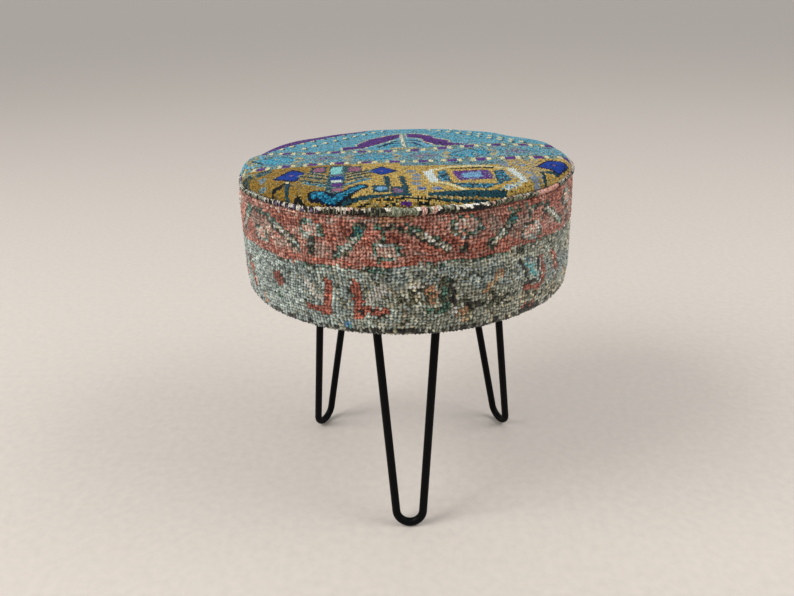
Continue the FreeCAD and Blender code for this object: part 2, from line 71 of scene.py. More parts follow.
# %% [markdown]
# ## Sizes
# Nothing here is typed twice: the drum, the welt and the crowned top are measured on the CAD pieces.
# Lengths are in metres, because Blender's are, and the rug's drawing is in millimetres, because a
# weaver counts small steps.

# %% Sizes read from the frame
MM = 0.001


def extent(node):
    """Lowest and highest corner of a CAD node, as arrays in metres."""
    low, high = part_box(node)
    return np.array(low), np.array(high)


band_low, band_high = extent("side_cover")
welt_low, welt_high = extent("rim_welt")
top_low, top_high = extent("top_cover")
BAND_RADIUS = band_high[0]
BAND_BOTTOM = band_low[2]
BAND_TOP = band_high[2]
WELT_THICKNESS = welt_high[2] - welt_low[2]
WELT_RING = welt_high[0] - WELT_THICKNESS / 2
WELT_HEIGHT = (welt_high[2] + welt_low[2]) / 2
TOP_RADIUS = top_high[0]
TOP_APEX = top_high[2]
TOP_HEM = top_low[2]
print("drum radius", round(BAND_RADIUS, 4), "apex", round(TOP_APEX, 4))

# %% [markdown]
# ## Meshes from arrays
# A surface is a grid of points, so its faces are a rule about neighbours and need no loop. Every piece
# goes through one function, which also says which body it rides on and which finish it has, and hides
# the CAD piece that it stands for.

# %% Grids and meshes


def grid_quads(rows, columns, ring_of_rows=False):
    """Quads between neighbours in a rows by columns grid whose columns run round a ring. Rows that go
    up the outside give faces that point outwards. ring_of_rows joins the last row to the first."""
    starts = rows if ring_of_rows else rows - 1
    i, j = np.meshgrid(np.arange(starts), np.arange(columns), indexing="ij")
    up = (i + 1) % rows
    side = (j + 1) % columns
    corners = (i * columns + j, i * columns + side, up * columns + side, up * columns + j)
    return np.stack(corners, axis=-1).reshape(-1, 4)


def store(data, field, values):
    """Copies an array of numbers into a field of a Blender collection."""
    data.foreach_set(field, np.asarray(values, np.float32).ravel())


def make_mesh(name, points, faces):
    """A smooth mesh from an array of points and an array of equal faces."""
    mesh = bpy.data.meshes.new(name)
    mesh.vertices.add(len(points))
    store(mesh.vertices, "co", points)
    mesh.loops.add(faces.size)
    mesh.loops.foreach_set("vertex_index", np.asarray(faces, np.int32).ravel())
    mesh.polygons.add(len(faces))
    starts = np.arange(0, faces.size, faces.shape[1], dtype=np.int32)
    mesh.polygons.foreach_set("loop_start", starts)
    mesh.polygons.foreach_set("use_smooth", np.ones(len(faces), bool))
    mesh.update(calc_edges=True)
    return mesh


# %% Pieces and what they carry
STRIP_MARGIN = 0.01


def add_object(name, data):
    """An object at the origin, in the scene."""
    made = bpy.data.objects.new(name, data)
    bpy.context.scene.collection.objects.link(made)
    return made


def make_piece(name, points, faces, slot, stands_for):
    """A piece at the origin that rides on the stool's only body and stands for one CAD node."""
    piece = add_object(name, make_mesh(name, points, faces))
    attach(piece, "root")
    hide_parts(stands_for)
    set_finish(piece, slot)
    print(name, len(points), "points", len(faces), "faces")
    return piece


def dye(piece, colours):
    """Stores one linear colour for each face."""
    rgba = np.concatenate([colours, np.ones((len(colours), 1))], axis=1)
    store(piece.data.attributes.new("yarn", "FLOAT_COLOR", "FACE").data, "color", rgba)


def paint_pile_shade(piece, values):
    """Stores how far up the pile each point stands: the wool finish paints shade where it is low."""
    store(piece.data.attributes.new("pile", "FLOAT", "POINT").data, "value", values)


def unwrap(piece, places):
    """Gives every face corner its place in the flat map that holds the piece's colours."""
    store(piece.data.uv_layers.new(name="OFBake").uv, "vector", places)


def strips(rows, columns, count):
    """Places for a closed grid of quads that is far longer than high: it is cut into strips, which lie
    one above another."""
    i, j = np.meshgrid(np.arange(rows), np.arange(columns), indexing="ij")
    long = math.ceil(columns / count)
    places = []
    for right, up in ((0, 0), (1, 0), (1, 1), (0, 1)):
        inside = STRIP_MARGIN + (1 - 2 * STRIP_MARGIN) * (i + up) / rows
        places.append(np.stack([(j % long + right) / long, (j // long + inside) / count], axis=-1))
    return np.stack(places, axis=2).reshape(-1, 2)


# %% [markdown]
# ## The handmade lean
# On the real stool the rim sits a little higher on the right and at the front. The drum's bottom edge
# is level, so the lean grows from nothing there to its full slope at the welt, and every soft piece
# takes it from this one function.

# %% Lean and wobble
LEAN_RIGHT = 0.0118
LEAN_BACK = -0.015
WAVE_STEPS = np.array([0, 2, 5, 11])
WAVE_SHRINK = np.array([1, 1.4, 2, 2.6])
WAVE_SHIFT = 1.7


def lean(points):
    """Adds to each height a slope times x and a slope times y, times how far up the drum the point
    is."""
    share = (points[..., 2] - BAND_BOTTOM) / (WELT_HEIGHT - BAND_BOTTOM)
    leaned = points.copy()
    tilt = LEAN_RIGHT * points[..., 0] + LEAN_BACK * points[..., 1]
    leaned[..., 2] += tilt * np.clip(share, 0, None)
    return leaned


def wobble(angle, first_wave, size):
    """A slow uneven line round a ring: four sine waves whose counts grow and whose heights shrink."""
    waves = first_wave + WAVE_STEPS
    lines = np.sin(np.multiply.outer(angle, waves) + waves * WAVE_SHIFT)
    return (size / WAVE_SHRINK * lines).sum(axis=-1)


def hump(angle, middle, reach):
    """A soft bump of height one round an angle: a bell curve that has fallen to 1/e at its reach."""
    return np.exp(-(((angle - middle) / reach) ** 2))


def from_back(step, count):
    """Angle of a step, when so many go round the drum, from the back over the left, the front and the
    right."""
    return (step / count * 2 - 1) * math.pi


def around(angle, radius, height):
    """Points at an angle from the front, counted towards the right, at a radius and a height."""
    return np.stack([radius * np.sin(angle), -radius * np.cos(angle), height + 0 * angle], axis=-1)


# %% [markdown]
# ## The crown
# The top panel is stretched over foam. Its section is a very flat arc, then a tight knuckle at the
# edge, then a short tuck, down and in, that the welt hides. Measuring along the cloth, and not along
# the floor, lets the rug's rows run over the edge without being stretched.

# %% Section of the crown
KNUCKLE = 12.4 * MM
CROWN_SPREAD = 3.5 * MM
TUCK_IN = 0.85
TUCK_DOWN = math.sqrt(1 - TUCK_IN**2)
RING = TOP_RADIUS + CROWN_SPREAD - KNUCKLE
CROWN_RISE = TOP_APEX - WELT_HEIGHT - KNUCKLE
CROWN_RADIUS = RING**2 / (2 * CROWN_RISE) + KNUCKLE + CROWN_RISE / 2
FLANK = math.asin(RING / (CROWN_RADIUS - KNUCKLE))
CROWN_LENGTH = CROWN_RADIUS * FLANK
EDGE_LENGTH = CROWN_LENGTH + KNUCKLE * (math.pi / 2 - FLANK)
CLOTH_LENGTH = EDGE_LENGTH + WELT_HEIGHT - TOP_HEM


def crown_section(along):
    """Radius, height and slope angle of the cover at a distance along the cloth from its middle: an arc
    of the crown's radius, then an arc of the knuckle's radius that ends upright, then a straight line
    down and in."""
    inside = along < CROWN_LENGTH
    flat = np.minimum(along, CROWN_LENGTH) / CROWN_RADIUS
    turn = np.clip(FLANK + (along - CROWN_LENGTH) / KNUCKLE, FLANK, math.pi / 2)
    radius = np.where(inside, CROWN_RADIUS * np.sin(flat), RING + KNUCKLE * np.sin(turn))
    crown_height = TOP_APEX - CROWN_RADIUS * (1 - np.cos(flat))
    height = np.where(inside, crown_height, WELT_HEIGHT + KNUCKLE * np.cos(turn))
    past = np.maximum(along - EDGE_LENGTH, 0)
    return radius - TUCK_IN * past, height - TUCK_DOWN * past, np.where(inside, flat, turn)


print("cloth from the middle to its hem:", round(CLOTH_LENGTH, 4))

# %% [markdown]
# ## Letting the cloth settle
# A drawn arc looks like a lathe made it. Blender's cloth gives the uneven swell of real stuffing: a
# coarse copy of the cover starts a little slack, its seam is pinned with a small wobble where the
# stitches pull, and pressure fills it. The swell is capped, and the fine knots are laid on the settled
# shape afterwards.

# %% Cloth run
SETTLE_FRAMES = 20
CLOTH = {
    "quality": 6,
    "mass": 0.4,
    "tension_stiffness": 30,
    "compression_stiffness": 30,
    "shear_stiffness": 12,
    "bending_stiffness": 4,
    "vertex_group_mass": "seam",
    "use_pressure": True,
}


def settle(points, faces, pinned, pressure):
    """Runs a pinned sheet under pressure without gravity and returns where its points come to rest."""
    sheet = add_object("settling", make_mesh("settling", points, faces))
    sheet.vertex_groups.new(name="seam").add(np.flatnonzero(pinned).tolist(), 1.0, "REPLACE")
    cloth = sheet.modifiers.new("cloth", "CLOTH")
    for name, value in CLOTH.items():
        setattr(cloth.settings, name, value)
    cloth.settings.uniform_pressure_force = pressure
    cloth.settings.effector_weights.gravity = 0
    cloth.point_cache.frame_end = SETTLE_FRAMES
    for step in range(1, SETTLE_FRAMES + 1):
        bpy.context.scene.frame_set(step)
    settled = sheet.evaluated_get(bpy.context.evaluated_depsgraph_get())
    rest = np.empty(len(points) * 3, np.float32)
    settled.data.vertices.foreach_get("co", rest)
    bpy.data.objects.remove(sheet)
    bpy.context.scene.frame_set(1)
    return rest.reshape(-1, 3).astype(float)


def sample(table, row, angle):
    """Reads a table of rows by angles between its entries: straight between rows, straight and closed
    round the ring."""
    column = angle / (2 * math.pi) % 1 * table.shape[1]
    low_row = np.clip(np.floor(row).astype(int), 0, table.shape[0] - 2)
    low_column = np.floor(column).astype(int) % table.shape[1]
    next_column = (low_column + 1) % table.shape[1]
    a = np.clip(row - low_row, 0, 1)[..., None]
    b = (column - np.floor(column))[..., None]
    low = table[low_row, low_column] * (1 - b) + table[low_row, next_column] * b
    high = table[low_row + 1, low_column] * (1 - b) + table[low_row + 1, next_column] * b
    return low * (1 - a) + high * a


# %% Settle the crown
SEAT_RINGS = 26
SEAT_SPOKES = 96
SEAT_SLACK = 0.5
SEAT_CAP = 5.0 * MM
SEAT_PRESSURE = 4.0
SEAM_PULL = 0.5 * MM
SEAM_TIGHTNESS = 6
SEAM_WAVES = (7, 9)
TINY = 1e-9


def settled_crown():
    """How far the settled cover leaves the CAD section, as radius and height steps on a grid of rings
    and spokes. The crown starts with a share of its rise, and its swell is scaled so that the middle
    ends at the apex."""
    along = np.linspace(0, CLOTH_LENGTH, SEAT_RINGS + 1)[1:, None]
    angle = np.arange(SEAT_SPOKES) * 2 * math.pi / SEAT_SPOKES
    shape = (SEAT_RINGS, SEAT_SPOKES)
    radius, height, _ = (np.broadcast_to(part, shape) for part in crown_section(along))
    near_seam = np.clip(along / CROWN_LENGTH, 0, 1) ** SEAM_TIGHTNESS
    start_radius = radius + near_seam * wobble(angle, SEAM_WAVES[0], SEAM_PULL)
    slack = np.maximum(height - WELT_HEIGHT - KNUCKLE, 0) * (1 - SEAT_SLACK)
    start_height = height - slack + near_seam * wobble(angle, SEAM_WAVES[1], SEAM_PULL)
    start = around(np.broadcast_to(angle, shape), start_radius, start_height)
    pinned = np.broadcast_to(along > CROWN_LENGTH, shape)[::-1].ravel()
    rest = settle(start[::-1].reshape(-1, 3), grid_quads(*shape), pinned, SEAT_PRESSURE)
    swell = rest.reshape(*shape, 3)[::-1] - start
    reach = np.linalg.norm(swell, axis=-1, keepdims=True)
    swell *= np.minimum(1, SEAT_CAP / np.maximum(reach, TINY))
    rise = swell[0, :, 2].mean()
    share = slack[0].mean() / rise
    print("the crown swells by", round(rise / MM, 2), "mm; share kept:", round(share, 2))
    outward = (swell[..., :2] * around(angle, 1.0, 0.0)[:, :2]).sum(axis=-1)
    step_radius = start_radius - radius + share * outward
    step_height = start_height - height + share * swell[..., 2]
    steps = np.stack([step_radius, step_height], axis=-1)
    return np.concatenate([steps[:1], steps])


crown_steps = settled_crown()
print("settled steps in mm:", np.round(crown_steps.min() / MM, 2), np.round(crown_steps.max() / MM, 2))

# %% [markdown]
# ## Yarns and drawing
# A knotted rug is a picture in squares: each knot is one dyed yarn. So the pattern is drawn as plain
# shapes, every knot asks which shape it lies in, and the edges step by themselves. Hand-spun wool takes
# its dye unevenly, so each yarn has a main dye, a fleck and the share of knots that show the fleck, and
# no two knots are equally bright.

# %% Yarns
YARNS = {
    "turquoise": ((106, 184, 206), (66, 134, 154), 0.30),
    "sea blue": ((56, 158, 192), (38, 114, 148), 0.30),
    "grey teal": ((122, 152, 146), (70, 102, 104), 0.35),
    "dark teal": ((34, 80, 92), (16, 44, 54), 0.30),
    "navy": ((14, 32, 78), (10, 20, 44), 0.25),
    "royal blue": ((14, 66, 166), (8, 42, 118), 0.25),
    "bright blue": ((26, 134, 172), (14, 92, 130), 0.25),
    "light blue": ((126, 176, 210), (96, 146, 186), 0.25),
    "cyan": ((64, 176, 206), (36, 126, 160), 0.30),
    "pale gold": ((210, 176, 94), (176, 142, 66), 0.28),
    "olive": ((128, 112, 48), (92, 84, 44), 0.30),
    "aqua": ((148, 220, 216), (112, 188, 188), 0.25),
    "gold": ((172, 134, 54), (128, 98, 38), 0.32),
    "beige": ((196, 182, 132), (150, 132, 84), 0.30),
    "cream": ((236, 228, 180), (204, 196, 136), 0.25),
    "white": ((226, 236, 230), (186, 204, 198), 0.20),
    "purple": ((104, 56, 140), (74, 36, 106), 0.30),
    "mauve": ((132, 108, 150), (96, 110, 132), 0.35),
    "pink": ((166, 108, 132), (130, 80, 104), 0.30),
    "lavender": ((142, 156, 172), (116, 128, 134), 0.30),
    "black green": ((24, 34, 34), (14, 20, 20), 0.20),
    "coral": ((224, 162, 142), (172, 104, 86), 0.38),
    "deep coral": ((206, 128, 106), (140, 76, 60), 0.4),
    "dusty coral": ((212, 180, 162), (162, 126, 110), 0.38),
    "grey green": ((208, 210, 190), (142, 144, 124), 0.38),
    "mint": ((208, 220, 208), (146, 160, 150), 0.36),
    "slate": ((184, 196, 188), (106, 116, 110), 0.38),
    "oatmeal": ((228, 216, 182), (156, 146, 118), 0.36),
    "ivory": ((250, 244, 226), (228, 218, 196), 0.25),
    "rose": ((254, 210, 188), (238, 168, 144), 0.30),
    "leaf green": ((116, 156, 134), (52, 84, 68), 0.4),
    "dark brown": ((76, 72, 62), (38, 36, 32), 0.3),
    "red": ((208, 124, 102), (152, 78, 62), 0.36),
    "orange": ((232, 184, 140), (188, 136, 96), 0.34),
    "bone": ((230, 220, 200), (172, 160, 140), 0.36),
    "blush": ((224, 178, 164), (166, 118, 106), 0.36),
    "black wool": ((40, 38, 35), (22, 21, 20), 0.3),
    "moss": ((150, 152, 128), (92, 96, 80), 0.4),
    "camel": ((216, 160, 126), (170, 116, 86), 0.35),
    "dark olive": ((122, 122, 96), (60, 62, 50), 0.4),
    "deep teal": ((64, 126, 128), (30, 72, 76), 0.35),
    "backing": ((150, 134, 104), (120, 104, 78), 0.30),
}
YARN_NAMES = list(YARNS)


def linear(levels):
    """Screen colours from 0 to 255 as linear light."""
    value = np.asarray(levels, float) / 255
    return np.where(value <= 0.04045, value / 12.92, ((value + 0.055) / 1.055) ** 2.4)


def all_of(yarn, shape):
    """An array of knots that are all one yarn."""
    return np.full(shape, YARN_NAMES.index(yarn))


def dyed(yarn, random, unevenness):
    """Linear colour of every knot: its yarn's dye or fleck, times a brightness that differs from knot
    to knot."""
    main, fleck, share = (np.array(part) for part in zip(*YARNS.values()))
    flecked = random.random(yarn.shape) < share[yarn]
    colour = np.where(flecked[..., None], linear(fleck)[yarn], linear(main)[yarn])
    return np.clip(colour * np.exp(random.normal(0, unevenness, yarn.shape))[..., None], 0, 1)


print("yarns:", len(YARNS))

# %% Drawing


class Drawing:
    """A rug drawn knot by knot. Each knot has a place in millimetres and the number of its yarn, and
    what is drawn later lies on top. Several drawings can share their yarns and measure places in their
    own ways. A yarn is one name, or several that are mixed knot by knot."""

    def __init__(self, x, y, yarn, random):
        self.x = x
        self.y = y
        self.yarn = yarn
        self.random = random

    def draw(self, shapes):
        """Draws shapes in turn, each given as the name of a method below, a yarn and the sizes."""
        for method, *given in shapes:
            getattr(self, method)(*given)

    def fill(self, where, yarn):
        """Gives all the knots in a mask one yarn, or a mix."""
        names = (yarn,) if isinstance(yarn, str) else yarn
        picks = np.array([YARN_NAMES.index(name) for name in names])
        self.yarn[where] = picks[self.random.integers(len(picks), size=int(where.sum()))]

    def sprinkle(self, where, specks):
        """Gives single knots here and there in a mask another yarn, each with its share of the
        knots."""
        for yarn, share in specks:
            self.fill(where & (self.random.random(where.shape) < share), yarn)

    def within(self, left, right, front, back):
        """The mask of an upright box."""
        return (self.x > left) & (self.x < right) & (self.y > front) & (self.y < back)

    def box(self, yarn, left, right, front, back):
        self.fill(self.within(left, right, front, back), yarn)

    def block(self, yarn, x, y, half_width, half_height):
        """A box given by its middle."""
        self.box(yarn, x - half_width, x + half_width, y - half_height, y + half_height)

    def diamond(self, yarn, x, y, half_width, half_height):
        self.fill(abs(self.x - x) / half_width + abs(self.y - y) / half_height < 1, yarn)

    def stroke(self, yarn, points, width):
        """Fills every knot that lies within half a width of a line through the points."""
        reach = np.full(self.x.shape, np.inf)
        for (x0, y0), (x1, y1) in zip(points[:-1], points[1:]):
            dx, dy = x1 - x0, y1 - y0
            share = np.clip(((self.x - x0) * dx + (self.y - y0) * dy) / (dx * dx + dy * dy), 0, 1)
            reach = np.minimum(reach, np.hypot(self.x - x0 - share * dx, self.y - y0 - share * dy))
        self.fill(reach < width / 2, yarn)

    def patch(self, yarn, corners, stretch=(1, 1)):
        """Fills a shape without hollows, given by its corners in turn, after stretching it about its
        middle."""
        corners = np.array(corners, float)
        corners = corners.mean(axis=0) + (corners - corners.mean(axis=0)) * stretch
        sides = []
        for (x0, y0), (x1, y1) in zip(corners, np.roll(corners, -1, axis=0)):
            sides.append((x1 - x0) * (self.y - y0) - (y1 - y0) * (self.x - x0))
        sides = np.array(sides)
        self.fill((sides > 0).all(axis=0) | (sides < 0).all(axis=0), yarn)


# %% [markdown]
# ## The knots of the top
# The knots lie in columns and rows, but whoever stretched the panel pulled it round, so its rows sink a
# little towards the right before they climb there, and climb at the far left too. The motifs are drawn
# on a flat sheet, and the panel is pulled over the crown, more at the back than at the front, so a
# knot's place on the sheet is a low polynomial of its place in plan.

# %% Pull of the top panel
CLIMB_SLOPE = 0.285
CLIMB_SOFTNESS = 14.0
CLIMB_FRONT_ROW = -69.0
CLIMB_START = 50.0
CLIMB_DIAGONAL = 1.08
LEFT_SLOPE = 0.5
LEFT_START = 120.0
LEFT_SOFTNESS = 8.0
LEFT_FRONT_ROW = -76.0
LEFT_ROWS = 50.0
ROW_SINK = -0.078
ROW_STRETCH = 1.2
ROW_SHIFT = 18.0
SHEET_ROUNDS = 8
SHEET_UNIT = 100
SHEET_ACROSS = (-0.3, -2.6, 2.3, -1.4, 1.0)
SHEET_BACK = (-17.9, 6.5, -17.6, 2.0, -3.9, -0.6)


def climb(across, back):
    """How far a row has climbed: a slope times a softly rounded distance past a slanting line at the
    right, and another past an upright line at the left, which fades out towards the front."""
    past = across - CLIMB_START + CLIMB_DIAGONAL * (back - CLIMB_FRONT_ROW)
    right = CLIMB_SLOPE * CLIMB_SOFTNESS * np.logaddexp(0, past / CLIMB_SOFTNESS)
    left = LEFT_SLOPE * LEFT_SOFTNESS * np.logaddexp(0, (-across - LEFT_START) / LEFT_SOFTNESS)
    return right + left * np.clip((back - LEFT_FRONT_ROW) / LEFT_ROWS, 0, 1)


def stretched(across, back):
    """How far back a knot lies in plan: its row's place, sunk to the right, plus the row's climb."""
    sheet_row = back / ROW_STRETCH - ROW_SHIFT
    return back + ROW_SINK * across + ROW_STRETCH * climb(across, sheet_row)


def on_sheet(x, y):
    """Where a place in plan falls on the flat sheet: the place plus a polynomial of it, whose terms are
    1, a, b, ab and then aa across, or bb and bbb towards the back, with a and b in decimetres."""
    a, b = x / SHEET_UNIT, y / SHEET_UNIT
    across = x + sum(share * term for share, term in zip(SHEET_ACROSS, (1, a, b, a * b, a * a)))
    back = y + sum(share * term for share, term in zip(SHEET_BACK, (1, a, b, a * b, b * b, b**3)))
    return across, back


def row_of(across, back):
    """The row that has climbed to a place on the sheet, found by taking the climb away again and
    again."""
    row = back
    for _ in range(SHEET_ROUNDS):
        row = back - climb(across, row)
    return row


# %% Knot places on the top
TOP_KNOT = 1.75
TOP_SEED = 11
EDGE_FUZZ = 0.3
GRID_MARGIN = 1.25

top_random = np.random.default_rng(TOP_SEED)
half_count = math.ceil(GRID_MARGIN * CLOTH_LENGTH / MM / TOP_KNOT)
grid_line = np.arange(-half_count, half_count + 1) * TOP_KNOT
cell_middle = (grid_line[:-1] + grid_line[1:]) / 2
knot_u, knot_v = np.meshgrid(cell_middle, cell_middle, indexing="ij")
on_panel = np.hypot(knot_u, stretched(knot_u, knot_v)) < CLOTH_LENGTH / MM
knot_u, knot_v = knot_u[on_panel], knot_v[on_panel]
knots = len(knot_u)
fuzz_u, fuzz_v = top_random.normal(0, EDGE_FUZZ * TOP_KNOT, (2, knots))
top_yarn = all_of("turquoise", knots)
sheet_x, sheet_y = on_sheet(knot_u + fuzz_u, stretched(knot_u, knot_v) + fuzz_v)
plan = Drawing(sheet_x, sheet_y, top_yarn, top_random)
woven = Drawing(sheet_x, row_of(sheet_x, sheet_y), top_yarn, top_random)
print("knots on the top:", knots)

# %% [markdown]
# The back of the panel is a turquoise field with slanting rows of cream dots, each with a dark spot
# beside it, a purple corner at the left and a purple arch with a cream outline in the middle. Old dye
# fades unevenly, so single knots all over the field are darker or paler.

# %% Back field
DOT_HALF = (2.3, 5.0)
DOT_SHADE = (2.6, -3.5)
SHADE_HALF = (2.6, 4.5)
DOT_ROWS = [
    ((-151, 15), (11.7, 10.8), 9),
    ((-121, 4), (11.4, 11.6), 9),
    ((130, 30), (-12.1, 9.4), 9),
    ((156, 24), (-11.7, 10.8), 9),
]
CORNER_SLOPE = 0.83
CORNER_START = (-173, 1)
CORNER_END = -46
ARCH = [
    [(-74, -4), (-52, 3), (-50, -11), (-72, -18)],
    [(-58, 9), (-44, 34), (-36, 6), (-50, -11)],
    [(-46, 34), (-20, 56), (-18, 26), (-38, 5)],
    [(-22, 56), (-5, 68), (-5, 46), (-20, 24)],
    [(3, 68), (22, 64), (22, 36), (3, 46)],
    [(20, 64), (35, 50), (37, 6), (23, 22)],
    [(33, 42), (53, 26), (53, -2), (35, 4)],
    [(48, 16), (81, 5), (79, -6), (46, -4)],
]
ARCH_OUTLINE = (1.22, 1.3)
UNDER_ARCH = [
    ("stroke", "dark teal", [(-24, 2), (-15, 20), (-7, 26)], 4),
    ("stroke", "navy", [(-31, -5), (-20, 12), (-8, 14)], 4),
    ("stroke", "sea blue", [(-22, -4), (-12, 4), (-7, 4)], 5),
    ("stroke", "dark teal", [(4, 28), (15, 26), (27, 8)], 4),
    ("stroke", "navy", [(4, 16), (12, 14), (19, 1)], 4),
    ("stroke", "light blue", [(12, 22), (22, 14), (28, 0)], 4),
    ("box", "beige", -17, 15, -15, -8),
    ("stroke", ("cream", "white", "cream", "grey teal"), [(-4, 66), (-3, 28), (-1, -3)], 4.6),
]
SPECKS = [("dark teal", 0.065), ("sea blue", 0.1), ("lavender", 0.1), ("beige", 0.04)]
CORNER_SPECKS = [("navy", 0.16), ("mauve", 0.12)]

plan.sprinkle(np.ones(knots, bool), SPECKS)
for (x, y), (step_x, step_y), dots in DOT_ROWS:
    for dot in range(dots):
        dot_x, dot_y = x + dot * step_x, y + dot * step_y
        plan.block("dark teal", dot_x + DOT_SHADE[0], dot_y + DOT_SHADE[1], *SHADE_HALF)
        plan.block("cream", dot_x, dot_y, *DOT_HALF)
corner_line = CORNER_START[1] + CORNER_SLOPE * (plan.x - CORNER_START[0])
in_corner = (plan.y > corner_line) & (plan.x < CORNER_END)
plan.fill(in_corner, "purple")
plan.sprinkle(in_corner, CORNER_SPECKS)
for corners in ARCH:
    plan.patch(("cream", "beige", "turquoise"), corners, ARCH_OUTLINE)
for corners in ARCH:
    plan.patch(("purple", "purple", "purple", "purple", "navy"), corners)
plan.draw(UNDER_ARCH)
print("dots:", sum(dots for _, _, dots in DOT_ROWS))

# %% [markdown]
# Two rows of dashes, purple with a cream block on each side, frame a band of cyan and mauve patches.
# The blocks stand a little further apart at the right than at the left.

# %% Dash rows and the band between them
DASH_PERIOD = 31.5
DASH_ROWS = {-26: 12, -76: 20}
DASH_DRIFT = 0.0003
DASH_SPECKS = [("turquoise", 0.3), ("dark teal", 0.14), ("beige", 0.16)]
PURPLE_HALF = (5.4, 4.2)
CREAM_FROM = 6.2
CREAM_TO = 11.0
CREAM_HALF_HEIGHT = 4.4
PATCH_PERIOD = 110.0
PATCH_ROW = -53.0
PATCHES = [
    ("diamond", "beige", -63, 0, 9, 15),
    ("diamond", "beige", -11, 0, 9, 15),
    ("diamond", "grey teal", 20, 0, 22, 14),
    ("diamond", "mauve", 20, 0, 17, 8),
    ("diamond", "dark teal", -36, 0, 30, 17),
    ("diamond", "cyan", -36, 0, 26, 14),
    ("box", "cyan", -53, -19, -6, 6),
    ("box", "pink", 14, 19, -2, 2),
    ("box", "navy", 20, 23, -2, 2),
]
THIN_ROWS = (-20, -34, -70, -83)
THIN_HALF = 1.8
BETWEEN_ROWS = (-74, -28)
BETWEEN_SPECKS = [("turquoise", 0.2), ("dark teal", 0.06), ("beige", 0.06), ("lavender", 0.12)]

for repeat in (-1, 0, 1):
    shifted = Drawing(woven.x - repeat * PATCH_PERIOD, woven.y - PATCH_ROW, top_yarn, top_random)
    shifted.draw(PATCHES)
for row in THIN_ROWS:
    woven.fill(abs(woven.y - row) < THIN_HALF, ("olive", "grey teal", "turquoise", "beige"))
woven.sprinkle((woven.y > BETWEEN_ROWS[0]) & (woven.y < BETWEEN_ROWS[1]), BETWEEN_SPECKS)
for row, start in DASH_ROWS.items():
    phase = (woven.x - start - DASH_DRIFT * (woven.x - start) ** 2) % DASH_PERIOD
    from_purple = np.minimum(phase, DASH_PERIOD - phase)
    from_row = abs(woven.y - row)
    in_row = from_row < CREAM_HALF_HEIGHT
    woven.fill(in_row, "grey teal")
    woven.sprinkle(in_row, DASH_SPECKS)
    woven.fill((from_row < PURPLE_HALF[1]) & (from_purple < PURPLE_HALF[0]), "purple")
    woven.fill(in_row & (from_purple > CREAM_FROM) & (from_purple < CREAM_TO), "cream")
print("dash rows:", len(DASH_ROWS))

# %% [markdown]
# The front is the mustard field. Its motifs stand on a row: blue diamonds, a stacked column with
# feathers and a hook, and an eight-sided white frame. They are drawn from the widest to the smallest.

# %% Mustard field
FIELD_BACK = -81.0
PALE_FROM = -58.0
FIELD_SPECKS = [("olive", 0.1), ("beige", 0.03), ("grey teal", 0.03)]
UNDER_DASHES = (-6, 112, FIELD_BACK - 13, FIELD_BACK)
UNDER_DASHES_SPECKS = [("dark teal", 0.2), ("lavender", 0.2), ("turquoise", 0.15)]
BESIDE_FRAME = (108, 148, -132, 0)
BESIDE_FRAME_SPECKS = [("lavender", 0.3), ("beige", 0.26)]
WHITE_FRAME = [
    ("stroke", "cream", [(26, -112), (41, -104), (50, -99), (80, -94), (111, -100)], 4.4),
    ("stroke", "cream", [(28, -149), (43, -153), (57, -166)], 4.0),
    ("patch", "white", [(18, -117), (28, -109), (33, -147), (25, -151)]),
    ("stroke", "white", [(113, -104), (119, -124), (122, -134)], 8.5),
    ("stroke", ("white", "cream", "light blue"), [(122, -135), (115, -146), (99, -156)], 4.6),
    ("patch", "dark teal", [(33, -118), (42, -109), (47, -147), (34, -146)]),
    ("patch", "dark teal", [(45, -149), (95, -150), (80, -161), (58, -162)]),
    ("patch", "dark teal", [(94, -110), (104, -104), (109, -139), (92, -155)]),
    ("stroke", "black green", [(50, -106), (94, -99)], 3.4),
]
TEAL_RING = (32, 110, -160, -104)
TEAL_RING_SPECKS = [("lavender", 0.2), ("sea blue", 0.24)]
PURPLE_MIX = ("purple", "purple", "purple", "lavender")
FRAME_CENTRE = [
    ("patch", PURPLE_MIX, [(49, -115), (88, -108), (91, -137), (53, -142)]),
    ("patch", "light blue", [(58, -121), (79, -115), (79, -132), (60, -136)]),
]

in_gold = woven.y < FIELD_BACK
woven.fill(in_gold, "gold")
woven.fill(in_gold & (woven.x > PALE_FROM), "pale gold")
woven.sprinkle(in_gold, FIELD_SPECKS)
woven.box("grey teal", *UNDER_DASHES)
woven.sprinkle(woven.within(*UNDER_DASHES), UNDER_DASHES_SPECKS)
plan.sprinkle(in_gold & plan.within(*BESIDE_FRAME), BESIDE_FRAME_SPECKS)
plan.draw(WHITE_FRAME)
in_ring = (top_yarn == YARN_NAMES.index("dark teal")) & plan.within(*TEAL_RING)
plan.sprinkle(in_ring, TEAL_RING_SPECKS)
plan.draw(FRAME_CENTRE)
print("mustard knots:", int(in_gold.sum()))

